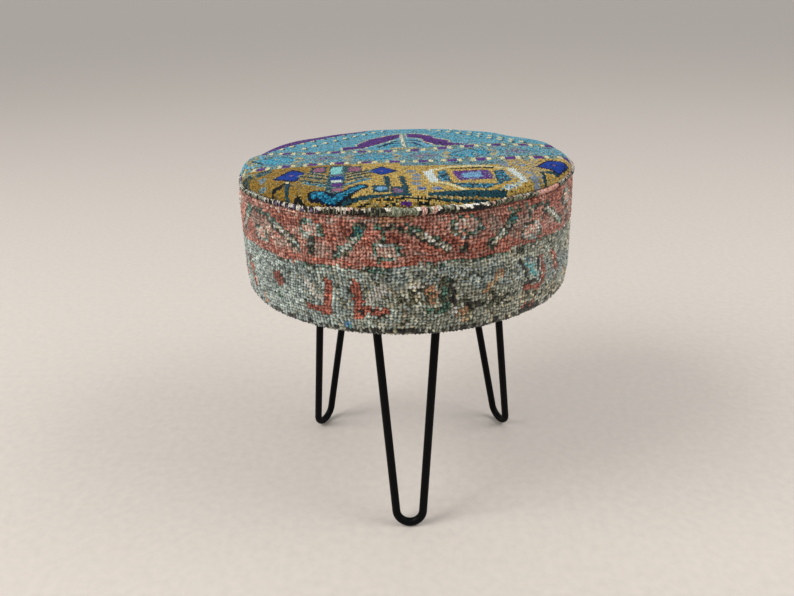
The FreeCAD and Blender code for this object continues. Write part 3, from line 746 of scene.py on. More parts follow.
# %% Diamonds, stems and squares
DIAMONDS = [
    [(-138, -119), (-122, -92), (-106, -107), (-114, -132)],
    [(-40, -111), (-25, -96), (-8, -112), (-24, -125)],
    [(143, -87), (158, -62), (184, -64), (167, -97)],
]
DIAMOND_EDGE = (1.1, 1.1)
DIAMOND_INSIDE = (0.9, 0.84)
DIAMOND_EYE = (1.6, 2.2)
PINK_SQUARES = [(-92, -99), (-54, -102)]
PINK_HALF = (6, 7.5)
PINK_FRAME = (8.5, 11)
PINK_SHIFT = -0.5
LAVENDER_SQUARES = [
    (6, -115), (11, -128), (11, -139), (11, -153), (16, -166), (30, -166), (107, -88), (127, -85),
    (131, -110), (135, -126), (140, -133),
]
LAVENDER_HALF = (4.4, 4.4)
BENT_STEM = [(-121, -133), (-128, -144), (-135, -144), (-141, -150), (-143, -160)]
STEMS = [
    ("box", "royal blue", 13, 20, -168, -164),
    ("box", "royal blue", 30, 36, -168, -164),
    ("stroke", "dark teal", [(-120, -138), (-120, -152), (-123, -170)], 5.2),
    ("stroke", "black green", BENT_STEM, 4.6),
    ("stroke", "black green", [(-121, -172), (-109, -165), (-106, -173)], 5.0),
    ("stroke", "dark teal", [(145, -105), (153, -102), (166, -95)], 4.6),
    ("stroke", "dark teal", [(146, -106), (148, -116), (153, -123)], 5.2),
    ("box", "cream", -123, -120, -136, -131),
]

for corners in DIAMONDS:
    plan.patch("navy", corners, DIAMOND_EDGE)
    plan.patch("royal blue", corners, DIAMOND_INSIDE)
    plan.block("pink", *np.mean(corners, axis=0), *DIAMOND_EYE)
for x, y in PINK_SQUARES:
    plan.block("dark teal", x + PINK_SHIFT, y, *PINK_FRAME)
    plan.block("pink", x, y, *PINK_HALF)
for x, y in LAVENDER_SQUARES:
    plan.block("lavender", x, y, *LAVENDER_HALF)
plan.draw(STEMS)
print("diamonds:", len(DIAMONDS))

# %% Column, feathers and hook
TEAL_MIX = ("dark teal", "dark teal", "grey teal")
DARK_MIX = ("dark teal", "dark teal", "olive")
FEATHERS = [
    [(-103, -109), (-80, -123)],
    [(-109, -117), (-79, -132)],
    [(-108, -130), (-79, -143)],
    [(-103, -138), (-78, -151)],
    [(-62, -120), (-39, -108)],
    [(-60, -128), (-38, -116)],
    [(-60, -137), (-36, -126)],
    [(-60, -150), (-38, -135)],
]
LOW_FEATHERS = (FEATHERS[3], FEATHERS[7])
FEATHER_LAYERS = [
    (FEATHERS, ("beige", "grey teal", "gold"), 8),
    (FEATHERS, ("black green", "dark teal"), 3.6),
    (LOW_FEATHERS, ("dark teal", "sea blue", "grey teal"), 5),
]
COLUMN = [
    ("box", TEAL_MIX, -80.5, -62, -178, -86),
    ("box", "aqua", -78.5, -67, -117, -91),
    ("box", "mauve", -77, -65, -122, -119),
    ("box", "royal blue", -77, -64, -134, -125),
    ("box", "white", -76, -65, -142, -136),
    ("box", "purple", -75, -64, -154, -145),
    ("box", "pink", -74, -63, -168, -158),
]
FAR_LEFT = [
    ("patch", TEAL_MIX, [(-164, -93), (-148, -79), (-144, -92), (-157, -109)]),
    ("patch", DARK_MIX, [(-187, -86), (-171, -90), (-162, -101), (-172, -113)]),
    ("patch", ("beige", "grey teal"), [(-180, -80), (-166, -90), (-163, -96), (-178, -88)]),
    ("patch", ("lavender", "grey teal"), [(-155, -114), (-147, -111), (-146, -123), (-152, -126)]),
    ("patch", ("lavender", "grey teal"), [(-158, -129), (-145, -131), (-144, -137), (-154, -136)]),
]
HOOK_LINE = [
    (-91, -168), (-89, -167), (-85, -168), (-82, -173), (-76, -178),
    (-69, -180), (-62, -176), (-55, -169), (-50, -161), (-44, -157),
]
HOOK = [
    ("stroke", "black green", [(-68, -185), (-58, -180), (-50, -169)], 8),
    ("stroke", ("navy", "black green"), HOOK_LINE, 14),
    ("stroke", ("bright blue", "cyan", "bright blue", "dark teal"), HOOK_LINE, 7.5),
]

for pairs, mix, width in FEATHER_LAYERS:
    for pair in pairs:
        plan.stroke(mix, pair, width)
plan.draw(COLUMN + FAR_LEFT + HOOK)
print("hook knots:", int((top_yarn == YARN_NAMES.index("bright blue")).sum()))

# %% Comb and front lines
COMB = [
    ("stroke", "dark teal", [(-20, -131), (-17, -156)], 5.5),
    ("stroke", "dark teal", [(-4, -132), (0, -162)], 5.5),
    ("box", "dark teal", -33, -16, -175, -155),
    ("box", "light blue", -29, -19, -169, -160),
    ("box", "dark teal", -15, 3, -181, -160),
    ("box", ("mauve", "pink"), -12, -3, -176, -165),
]
PALE_LINE = [(-45, -186.6), (-27, -185), (-12, -183.6), (23, -182.3), (51, -180), (88, -170)]
DARK_LINE = [(-47, -191), (-34, -188.5), (-16, -186), (1, -185), (26, -184.4), (40, -184)]
FRONT_LINES = [
    ("stroke", "black green", [(-68, -187), (-55, -184.5)], 6),
    ("stroke", "dark teal", [(-62, -186), (-51, -183.6), (-38, -182.4), (-17, -181), (4, -180)], 4.5),
    ("stroke", "dark teal", [(25, -180), (45, -176), (69, -170), (83, -167), (100, -162)], 8),
    ("stroke", "black green", DARK_LINE, 2.2),
    ("stroke", "dark teal", [(38, -184), (46, -183), (64, -179), (84, -173.5)], 4.2),
    ("stroke", ("gold", "beige"), PALE_LINE, 1.9),
]
BORDER = (-36.0, 30.0, -math.inf, 0)
BORDER_START = 189.0
BORDER_SQUARES = [
    ("block", "black green", -19, -192, 2.2, 1.9),
    ("block", "black green", -12, -191, 2.0, 1.9),
    ("block", "purple", 1, -190.6, 5.0, 1.9),
    ("block", "black green", 15, -190, 2.0, 1.9),
    ("block", "black green", 21, -189.4, 2.0, 1.9),
]

plan.draw(COMB + FRONT_LINES)
in_border = plan.within(*BORDER) & (np.hypot(plan.x, plan.y) > BORDER_START)
plan.fill(in_border, ("beige", "gold", "pale gold", "olive"))
plan.draw(BORDER_SQUARES)
print("front lines:", len(FRONT_LINES))

# %% [markdown]
# ## The top panel
# Each knot is a small tuft: four corners down in the gaps and one tip that stands up, so the pile is
# real relief. The panel is closed underneath by its own edge, which is drawn in to the middle in a few
# rings one cloth thickness lower.

# %% Build the top panel
TOP_TUFT = 0.5
TUFT_LEAST = 0.6
TUFT_RANGE = 0.8
TOP_GAP = 0.22
TIP_DRIFT = 0.16
TOP_THICKNESS = 4.5
INNER_RINGS = (1.0, 0.965, 0.93, 0.9, 0.6, 0.3)
TOP_UNEVENNESS = 0.16
SLUMP = 5.0 * MM
SLUMP_TURN = math.radians(125)
SLUMP_TIGHTNESS = 4.0
SLUMP_EDGE = 4


def on_crown(x, y, lift):
    """Points of the settled crown, in metres, for plan places measured along the cloth and a lift along
    the normal, all in millimetres. The stuffing slumps a little behind on the right."""
    along = np.hypot(x, y) * MM
    angle = np.arctan2(x, -y)
    radius, height, slope = crown_section(along)
    steps = sample(crown_steps, along / CLOTH_LENGTH * SEAT_RINGS, angle)
    radius = radius + steps[..., 0] + lift * MM * np.sin(slope)
    slump = SLUMP * np.exp(SLUMP_TIGHTNESS * (np.cos(angle - SLUMP_TURN) - 1))
    slump = slump * (along / CLOTH_LENGTH) ** SLUMP_EDGE
    height = height + steps[..., 1] - slump + lift * MM * np.cos(slope)
    return lean(around(angle, radius, height))


lines = len(grid_line)
i, j = np.nonzero(on_panel)
first, beyond = i * lines + j, (i + 1) * lines + j
used, cell = np.unique(np.stack([first, beyond, beyond + 1, first + 1], axis=1), return_inverse=True)
cell = cell.reshape(-1, 4)
cell_edges = np.stack([cell, np.roll(cell, -1, axis=1)], axis=-1)
corner_x, corner_y = grid_line[used // lines], grid_line[used % lines]
corner_y = stretched(corner_x, corner_y)
tip_x = knot_u + top_random.normal(0, TIP_DRIFT * TOP_KNOT, knots)
tip_y = stretched(tip_x, knot_v + top_random.normal(0, TIP_DRIFT * TOP_KNOT, knots))
tip_lift = TOP_TUFT * (TUFT_LEAST + TUFT_RANGE * top_random.random(knots))
corner_points = on_crown(corner_x, corner_y, -TOP_GAP)
tip_points = on_crown(tip_x, tip_y, tip_lift)
tips = len(used) + np.arange(knots)
tip_of_edge = np.repeat(tips[:, None], 4, axis=1)[..., None]
tufts = np.concatenate([cell_edges, tip_of_edge], axis=-1).reshape(-1, 3)
print("tufts:", knots)

# %% Close the top panel underneath
edges = cell_edges.reshape(-1, 2)
edge_key = edges[:, 0] * len(used) + edges[:, 1]
opposite_key = edges[:, 1] * len(used) + edges[:, 0]
rim_edges = edges[~np.isin(edge_key, opposite_key)]
rim = np.unique(rim_edges[:, 0])
rim_x, rim_y = corner_x[rim], corner_y[rim]
rings = [on_crown(rim_x * share, rim_y * share, -TOP_THICKNESS) for share in INNER_RINGS]
under_start = len(used) + knots
on_rim = np.searchsorted(rim, rim_edges)
layers = [rim_edges] + [under_start + ring * len(rim) + on_rim for ring in range(len(INNER_RINGS))]
under = []
for outer, inner in zip(layers[:-1], layers[1:]):
    under.append(np.stack([outer[:, 1], outer[:, 0], inner[:, 0]], axis=1))
    under.append(np.stack([outer[:, 1], inner[:, 0], inner[:, 1]], axis=1))
inmost = layers[-1]
centre = np.full(len(inmost), under_start + len(rim) * len(INNER_RINGS))
under.append(np.stack([inmost[:, 1], inmost[:, 0], centre], axis=1))
under = np.concatenate(under)
centre_point = on_crown(np.zeros(1), np.zeros(1), -TOP_THICKNESS)
top_points = np.concatenate([corner_points, tip_points, *rings, centre_point])
top_faces = np.concatenate([tufts, under])
top_panel = make_piece("top_panel", top_points, top_faces, "top_rug", "top_cover")

# %% Dye the top panel
top_colours = np.repeat(dyed(top_yarn, top_random, TOP_UNEVENNESS), 4, axis=0)
under_colours = dyed(all_of("backing", len(under)), top_random, TOP_UNEVENNESS)
dye(top_panel, np.concatenate([top_colours, under_colours]))
# Painted shade: corners down in the gaps get 0 and tips get 1, and the wool finish darkens low values.
top_pile_light = np.zeros(len(top_points))
top_pile_light[tips] = 1
paint_pile_shade(top_panel, top_pile_light)
print("top panel dyed:", len(top_colours), "tuft faces")

# %% Lay the top panel flat
FLAT_MARGIN = 1.08
UNDER_STEP = 0.01

steps_out = [1 + UNDER_STEP * (ring + 1) for ring in range(len(INNER_RINGS))]
flat_x = np.concatenate([corner_x, tip_x] + [rim_x * step for step in steps_out] + [np.zeros(1)])
flat_y = np.concatenate([corner_y, tip_y] + [rim_y * step for step in steps_out] + [np.zeros(1)])
flat = np.stack([flat_x, flat_y], axis=-1)[top_faces]
flat[-len(inmost):, 2] = flat[-len(inmost):, 0] * (1 + UNDER_STEP)
unwrap(top_panel, 0.5 + flat * MM / (2 * FLAT_MARGIN * CLOTH_LENGTH))
print("top panel laid flat:", flat.shape[0], "faces")

# %% [markdown]
# ## The side band
# The band is one strip of a coarser rug. Its section starts at the stapled hem under the drum, turns up
# round the bottom edge, climbs the wall and rolls in under the welt. The wall is settled as cloth too,
# so it bellies a little between its two fixed edges.

# %% Section of the band
HEM_CLEARANCE = 0.2 * MM
HEM_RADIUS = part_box("dust_cover")[1][0] + HEM_CLEARANCE
BAND_BEND = 8.0 * MM
BAND_ROLL = 4.0 * MM
HEM_LENGTH = BAND_RADIUS - BAND_BEND - HEM_RADIUS
BEND_LENGTH = BAND_BEND * math.pi / 2
WALL_LENGTH = BAND_TOP - BAND_ROLL - BAND_BOTTOM - BAND_BEND
ROLL_LENGTH = BAND_ROLL * math.pi / 2
WALL_START = HEM_LENGTH + BEND_LENGTH
WALL_END = WALL_START + WALL_LENGTH
BAND_LENGTH = WALL_END + ROLL_LENGTH


def band_section(along):
    """Radius, height and slope angle of the band at a distance along it from the hem's inner edge:
    level, then a quarter arc up, then upright, then a quarter arc in. The slope angle is the normal's,
    from straight down."""
    up = np.clip((along - HEM_LENGTH) / BAND_BEND, 0, math.pi / 2)
    over = np.clip((along - WALL_END) / BAND_ROLL, 0, math.pi / 2)
    radius = HEM_RADIUS + np.minimum(along, HEM_LENGTH) + BAND_BEND * np.sin(up)
    height = BAND_BOTTOM + BAND_BEND * (1 - np.cos(up)) + BAND_ROLL * np.sin(over)
    height = height + np.clip(along - WALL_START, 0, WALL_LENGTH)
    return radius - BAND_ROLL * (1 - np.cos(over)), height, up + over


print("band from hem to roll:", round(BAND_LENGTH, 4))

# %% Settle the wall
WALL_ROWS = 16
WALL_SPOKES = 120
WALL_PRESSURE = 90.0
WALL_BELLY = 1.3 * MM
WALL_PULL = 0.45 * MM
WALL_CAP = 3.0 * MM
WALL_WAVES = (5, 8)


def settled_wall():
    """How far the settled wall leaves its section, as radius steps on a grid of rows and spokes, scaled
    so that its mean belly is the one wanted."""
    angle = np.arange(WALL_SPOKES) * 2 * math.pi / WALL_SPOKES
    height = np.linspace(BAND_BOTTOM + BAND_BEND, BAND_TOP - BAND_ROLL, WALL_ROWS)[:, None]
    shape = (WALL_ROWS, WALL_SPOKES)
    share_up = np.linspace(0, 1, WALL_ROWS)[:, None]
    low_pull, high_pull = (wobble(angle, waves, WALL_PULL) for waves in WALL_WAVES)
    radius = BAND_RADIUS + share_up * high_pull + (1 - share_up) * low_pull
    start = around(np.broadcast_to(angle, shape), radius, np.broadcast_to(height, shape))
    pinned = np.zeros(shape, bool)
    pinned[[0, -1]] = True
    rest = settle(start.reshape(-1, 3), grid_quads(*shape), pinned.ravel(), WALL_PRESSURE)
    rest = rest.reshape(*shape, 3)
    swell = np.clip(np.hypot(rest[..., 0], rest[..., 1]) - radius, -WALL_CAP, WALL_CAP)
    share = WALL_BELLY / swell[WALL_ROWS // 2].mean()
    print("the wall moves by up to", round(swell.max() / MM, 2), "mm; share kept:", round(share, 2))
    return (radius - BAND_RADIUS + share * swell)[..., None]


wall_steps = settled_wall()

# %% [markdown]
# The band's drawing is measured along the strip and up from the line between its two grounds, coral
# above and grey-green below. That line climbs a little towards the right. A vine zigzags through the
# coral with a rosette in each bend, eight times round the drum, and the lower ground holds scattered
# leaves, hooks and diamonds, which come round three times.

# %% Knot places on the band
BAND_KNOT = (3.9 * MM, 3.4 * MM)
BAND_SEED = 5
BAND_FUZZ = 0.22
GROUND_LINE = 74.8
GROUND_CLIMB = 4.3
GROUND_WAVE = 2.0
GROUND_WAVES = 3
DEGREE = math.radians(1) * BAND_RADIUS / MM

band_random = np.random.default_rng(BAND_SEED)
band_columns = round(2 * math.pi * BAND_RADIUS / BAND_KNOT[0])
band_rows = round(BAND_LENGTH / BAND_KNOT[1])
band_shape = (band_rows, band_columns)
knot_row, knot_column = np.indices(band_shape) + 0.5
knot_angle = from_back(knot_column, band_columns)
knot_up = (knot_row / band_rows * BAND_LENGTH - WALL_START + BAND_BEND) / MM
ground_line = GROUND_LINE + GROUND_CLIMB * np.sin(knot_angle)
ground_line = ground_line + GROUND_WAVE * np.sin(GROUND_WAVES * knot_angle)
fuzz_x = band_random.normal(0, BAND_FUZZ * BAND_KNOT[0] / MM, band_shape)
fuzz_y = band_random.normal(0, BAND_FUZZ * BAND_KNOT[1] / MM, band_shape)
knot_turn = np.degrees(knot_angle) + fuzz_x / DEGREE
above = knot_up - ground_line + fuzz_y
band_yarn = all_of("grey green", band_shape)
print("band knots:", band_columns, "columns by", band_rows, "rows")


def mottle(random, shape):
    """Noise that changes over a few knots: white noise averaged twice with its neighbours, at a spread
    of one."""
    value = random.normal(0, 1, shape)
    for axis in (0, 1, 0, 1):
        value = value + np.roll(value, 1, axis) + np.roll(value, -1, axis)
    return value / value.std()


def repeated(period, middle, stretch=0.0, tilt=0.0):
    """The band as a drawing that comes round again after a number of degrees, in millimetres from one
    middle. A stretch in degrees spreads it at the front, and a tilt in millimetres lifts it at the
    left."""
    place = knot_turn - stretch * np.sin(knot_angle)
    across = ((place - middle + period / 2) % period - period / 2) * DEGREE
    return Drawing(across, above + tilt * np.sin(knot_angle), band_yarn, band_random)


def at(degrees, height):
    """A place on the band in millimetres from a turn in degrees and a height above the line between the
    grounds."""
    return (degrees * DEGREE, height)


# %% Grounds of the band
DRIFT_WAVES = (2, 3, 5)
DRIFT_SLANT = 0.03
LOT_MOTTLE = 0.35
LOT_SPREAD = 0.15
LOWER_SHIFT = 0.6
LOWER_EDGE = 0.42
MINT_TURN = math.radians(58)
MINT_SPREAD = 0.16
MINT_FROM = 0.72
CORAL_SHIFT = 2.1
DEEP_FROM = 0.3
DUSTY_TO = -0.4
STRIPE_HEIGHT = 8.0
SEAM_HEIGHT = -2.0
SEAM_HALF = 2.2
SEAM_SPECKS = [(("dark olive", "leaf green"), 0.35)]
CAMEL_HEIGHT = 43.5
CAMEL_TURN = -1.5
CAMEL_HALF = 4.8
LIT_ROLL_HEIGHT = 50.5
LIT_ROLL_TURNS = (-56, -18)


def dye_lot(shift):
    """How far the dye leaves its mean: the mean of three slow waves round and up the band, a mottle
    over a few knots, and single knots."""
    waves = [np.sin(wave * (knot_angle + DRIFT_SLANT * above + shift)) for wave in DRIFT_WAVES]
    slow = sum(waves) / len(waves) + LOT_MOTTLE * mottle(band_random, band_shape)
    return slow + band_random.normal(0, LOT_SPREAD, band_shape)


whole = repeated(360, 0)
lower_lot = dye_lot(LOWER_SHIFT)
whole.fill(lower_lot > LOWER_EDGE, ("slate", "slate", "grey green"))
whole.fill(lower_lot < -LOWER_EDGE, ("oatmeal", "grey green", "dark olive"))
# Mint on the left of the lower ground: partly a paler dye, partly painted light from the key lamp.
lit_left_side = np.cos(knot_angle + MINT_TURN) + band_random.normal(0, MINT_SPREAD, band_shape)
whole.fill(lit_left_side > MINT_FROM, ("mint", "mint", "slate"))
coral = above > 0
coral_lot = dye_lot(CORAL_SHIFT)
whole.fill(coral, "coral")
whole.fill(coral & (coral_lot > DEEP_FROM), "deep coral")
whole.fill(coral & (coral_lot < DUSTY_TO), "dusty coral")
whole.fill(coral & (above < STRIPE_HEIGHT), ("coral", "red", "coral"))
whole.sprinkle(abs(above - SEAM_HEIGHT) < SEAM_HALF, SEAM_SPECKS)
in_camel = (above > CAMEL_HEIGHT) & (abs(knot_turn - CAMEL_TURN) < CAMEL_HALF)
whole.fill(in_camel, ("camel", "camel", "camel", "coral"))
# Painted highlight: paler rose knots where the top roll catches the light at the left-front.
in_lit_roll = (above > LIT_ROLL_HEIGHT) & (knot_turn > LIT_ROLL_TURNS[0]) & (knot_turn < LIT_ROLL_TURNS[1])
whole.fill(in_lit_roll, ("rose", "coral", "coral"))
print("coral knots:", int(coral.sum()))

# %% Vine and rosettes
VINE_PERIOD = 45.0
VINE_MIDDLE = -4.3
VINE_STRETCH = 2.3
VINE_TILT = 4.6
DARK_WOOL = ("dark olive", "dark olive", "leaf green", "dark brown")
PALE_WOOL = ("ivory", "mint", "ivory", "oatmeal")
LEFT_ARM = [at(-7.0, 36.5), at(-15.0, 10.5)]
RIGHT_ARM = [at(5.6, 37.5), at(17.6, 14.6)]
VINE = [
    ("stroke", DARK_WOOL, LEFT_ARM, 10.0),
    ("stroke", PALE_WOOL, LEFT_ARM, 4.8),
    ("stroke", DARK_WOOL, RIGHT_ARM, 10.0),
    ("stroke", PALE_WOOL, RIGHT_ARM, 4.8),
    ("diamond", ("deep teal", "leaf green"), *at(-7.5, 33.5), 6.5, 6.5),
    ("stroke", (*DARK_WOOL, "coral"), [at(-8.0, 42.0), at(8.0, 38.0)], 5.5),
    ("box", (*DARK_WOOL, "dusty coral"), -2.4, 2.4, 20.5, 41.0),
]
HANGING_STEM = [("box", ("dark brown", "dark olive", "dark brown", "slate"), -3.2, 3.2, 8, 28.3)]
ROSETTE_HALF = (14.5, 8.8)
ROSETTE_CUT = 1.65
ROSETTE_RINGS = [
    (1.0, ("dark olive", "leaf green", "dark olive", "mint")),
    (0.8, ("mint", "ivory", "mint", "leaf green")),
    (0.62, "rose"),
]
LOW_ROSETTE = 15.5
HIGH_ROSETTE = 35.3


def rosette(drawing, height):
    """A flower with cut corners: rose inside, mint and ivory round it, and a broken dark edge."""
    x, y = abs(drawing.x) / ROSETTE_HALF[0], abs(drawing.y - height) / ROSETTE_HALF[1]
    ring = np.maximum(np.maximum(x, y), (x + y) / ROSETTE_CUT)
    for edge, yarn in ROSETTE_RINGS:
        drawing.fill(ring < edge, yarn)


vine = repeated(VINE_PERIOD, VINE_MIDDLE, VINE_STRETCH, VINE_TILT)
half_way = repeated(VINE_PERIOD, VINE_MIDDLE + VINE_PERIOD / 2, VINE_STRETCH, VINE_TILT)
vine.draw(VINE)
half_way.draw(HANGING_STEM)
rosette(vine, LOW_ROSETTE)
rosette(half_way, HIGH_ROSETTE)
print("rosettes:", int(2 * 360 / VINE_PERIOD))

# %% Motifs of the lower ground
MOTIF_PERIOD = 120.0
MOTIFS = [
    ("stroke", "ivory", [at(-31.5, -19), at(-25.5, -36)], 7.0),
    ("stroke", "red", [at(-23.5, -20), at(-23.1, -50), at(-29.7, -46.6)], 7.5),
    ("stroke", "red", [at(-14.4, -19), at(-13.6, -51)], 11.0),
    ("stroke", ("red", "red", "red", "dark brown"), [at(-13.6, -49.5), at(-5.3, -47.5)], 7.5),
    ("stroke", "ivory", [at(-9.9, -36), at(-5.6, -23)], 11.5),
    ("stroke", ("leaf green", "leaf green", "dark olive"), [at(12.3, -20), at(12.9, -51)], 10.0),
    ("stroke", "dark brown", [at(15.2, -22), at(15.6, -52)], 4.0),
    ("stroke", ("leaf green", "dark olive"), [at(6, -47), at(11, -49.5)], 5.5),
    ("stroke", ("orange", "orange", "oatmeal"), [at(30.2, -22), at(25.9, -38)], 9.0),
    ("stroke", ("dark brown", "dark olive"), [at(38.4, -17), at(41.5, -42)], 4.0),
    ("stroke", ("light blue", "aqua", "mint"), [at(41, -20), at(44.6, -35)], 8.0),
    ("stroke", "dark brown", [at(46, -18), at(47.2, -46), at(40, -43)], 3.4),
    ("stroke", "red", [at(48.3, -20), at(49.8, -52), at(40.9, -48)], 5.5),
    ("stroke", ("red", "rose", "dark olive", "red"), [at(56.5, -24), at(60, -50)], 13.0),
    ("stroke", ("red", "dark brown"), [at(40.5, -71), at(47.5, -71)], 5.0),
    ("stroke", ("light blue", "aqua"), [at(-17.9, -59), at(-17.5, -63)], 6.0),
    ("stroke", "slate", [at(-17.9, -28), at(-17.9, -36)], 6.0),
    ("stroke", ("leaf green", "mint"), [at(-44.4, -40), at(-43.5, -46)], 7.0),
    ("stroke", ("dark olive", "dark brown", "slate"), [at(18.5, -19), at(23, -21)], 7.0),
    ("stroke", ("dark olive", "dark brown"), [at(20, -51), at(25, -52)], 5.0),
    ("stroke", "orange", [at(-53.1, -56), at(-52.5, -61)], 6.0),
    ("diamond", ("dark brown", "dark olive", "mint"), *at(-43, -26), 11.5, 12.5),
    ("diamond", "red", *at(-43, -26), 8.5, 10.0),
    ("diamond", ("oatmeal", "dark olive", "ivory"), *at(5, -25), 9.0, 9.0),
    ("diamond", ("orange", "camel", "dark olive"), *at(8.3, -32.6), 9.5, 11.0),
    ("diamond", ("orange", "orange", "oatmeal"), *at(18.5, -60), 9.0, 9.5),
    ("diamond", "ivory", *at(15.8, -55), 4.0, 4.0),
]
DARK_BEND_SHARE = 0.7
DARK_BEND_SPECKS = [("dark brown", 0.5)]

repeated(MOTIF_PERIOD, 0).draw(MOTIFS)
# Dark brown specks on the hem and the low part of the bend: the band is darker towards its bottom.
whole.sprinkle(knot_up < BAND_BEND / MM * DARK_BEND_SHARE, DARK_BEND_SPECKS)
print("motifs round the drum:", int(len(MOTIFS) * 360 / MOTIF_PERIOD))

# %% [markdown]
# A coarse knot is a double loop of thick wool, so here each one is four faces: a tip in the middle,
# lower shoulders towards its neighbours and the lowest points where four knots meet. The gaps between
# columns are the deeper ones, and the wool down there gets painted shade: its colour is darkened.

# %% Build the band
BAND_TUFT = 1.75 * MM
BAND_TUFT_LEAST = 0.65
BAND_TUFT_RANGE = 0.7
ROW_SHOULDER = 0.5
COLUMN_SHOULDER = 0.34
BAND_DRIFT = 0.26
ROW_WAVE = 0.9 * MM
ROW_WAVES = (11, 29)
ROW_WAVE_TWIST = 60
COLUMN_WAVE = 1.3 * MM
COLUMN_WAVES = (6, 17)
COLUMN_WAVE_TWIST = 130
BEND_SAG = 3.0 * MM

half_rows, half_columns = 2 * band_rows + 1, 2 * band_columns
step_up, step_round = np.indices((half_rows, half_columns))
odd_up, odd_round = step_up % 2, step_round % 2
shoulders = ROW_SHOULDER * (1 - odd_up) * odd_round + COLUMN_SHOULDER * odd_up * (1 - odd_round)
band_pile = odd_up * odd_round + shoulders
drifts = band_random.normal(0, BAND_DRIFT, (2, *band_pile.shape))
drift_up, drift_round = drifts * (band_pile > 0)
along = np.clip((step_up + drift_up) / (half_rows - 1), 0, 1) * BAND_LENGTH
angle = from_back(step_round + drift_round, half_columns)
row_wave = np.sin(ROW_WAVES[0] * angle + ROW_WAVE_TWIST * along) + np.sin(ROW_WAVES[1] * angle)
row_wave = ROW_WAVE * np.sin(math.pi * along / BAND_LENGTH) * row_wave
column_wave = np.sin(COLUMN_WAVES[0] * angle + COLUMN_WAVE_TWIST * along)
column_wave = column_wave + np.sin(COLUMN_WAVES[1] * angle)
along = along + row_wave
angle = angle + COLUMN_WAVE / BAND_RADIUS * column_wave
radius, height, slope = band_section(along)
belly = sample(wall_steps, (along - WALL_START) / WALL_LENGTH * (WALL_ROWS - 1), angle)[..., 0]
belly = belly * np.clip((along - HEM_LENGTH) / BEND_LENGTH, 0, 1)
tuft = BAND_TUFT_LEAST + BAND_TUFT_RANGE * band_random.random(band_pile.shape)
lift = BAND_TUFT * band_pile * tuft - BAND_TUFT
sag = BEND_SAG * np.clip(np.sin(2 * slope), 0, 1)
radius = radius + belly + lift * np.sin(slope)
height = height - sag - lift * np.cos(slope)
outside = lean(around(angle, radius, height))
print("band outside:", outside.shape[:2])

# %% Close the band inside
BAND_THICKNESS = 4.6 * MM

inner_section = [
    (BAND_RADIUS - BAND_THICKNESS, BAND_TOP - BAND_ROLL / 2),
    (BAND_RADIUS - BAND_THICKNESS, (BAND_TOP + BAND_BOTTOM) / 2),
    (BAND_RADIUS - BAND_THICKNESS, BAND_BOTTOM + BAND_THICKNESS),
    (HEM_RADIUS, BAND_BOTTOM + BAND_THICKNESS),
]
inner_angle = from_back(np.arange(half_columns), half_columns)
inside = np.stack([lean(around(inner_angle, r, np.full(half_columns, z))) for r, z in inner_section])
band_points = np.concatenate([outside, inside]).reshape(-1, 3)
band_grid = (half_rows + len(inner_section), half_columns)
band_faces = grid_quads(*band_grid, ring_of_rows=True)
side_band = make_piece("side_band", band_points, band_faces, "side_rug", "side_cover")

# %% Dye the band
BAND_UNEVENNESS = 0.12
SINGLE_UNEVENNESS = 0.6
STRAND_UNEVENNESS = 0.2
GAP_LIGHT_LEAST = 0.55
GAP_LIGHT_RANGE = 0.6
CLOSED_GAP_LIGHT = 0.5
CLOSED_RARITY = 3
BAND_STRIPS = 3


def quarters(values):
    """Each knot's value for its four faces."""
    return np.repeat(np.repeat(values, 2, axis=0), 2, axis=1)


light_lot = mottle(band_random, band_shape) + band_random.normal(0, SINGLE_UNEVENNESS, band_shape)
face_light = quarters(np.exp(BAND_UNEVENNESS * light_lot))[..., None]
band_colours = (dyed(quarters(band_yarn), band_random, STRAND_UNEVENNESS) * face_light).reshape(-1, 3)
plain = all_of("backing", len(band_faces) - len(band_colours))
dye(side_band, np.concatenate([band_colours, dyed(plain, band_random, BAND_UNEVENNESS)]))
unwrap(side_band, strips(*band_grid, BAND_STRIPS))
# Painted shade: pile heights made uneven, some gaps lit as if closed; low values darken the colour.
painted_gap_light = band_pile * (GAP_LIGHT_LEAST + GAP_LIGHT_RANGE * band_random.random(band_pile.shape))
painted_gap_light = painted_gap_light + CLOSED_GAP_LIGHT * band_random.random(band_pile.shape) ** CLOSED_RARITY
paint_pile_shade(side_band, np.concatenate([np.clip(painted_gap_light, 0, 1).ravel(), np.ones(inside[..., 0].size)]))
print("band dyed:", len(band_colours), "knot faces")

# %% [markdown]
# ## The welt
# Where the two rugs meet, the seam is whipped over a cord with thick wool, so the welt is a roll of
# slanting stitches. Its radius swells in each stitch and dips between stitches, and the dip turns round
# the roll as it goes. The colours of the wool come in runs. Each run has the turn in degrees where it
# starts, how close its stitches are, and the wools that show on the upper and the lower half of the
# roll.

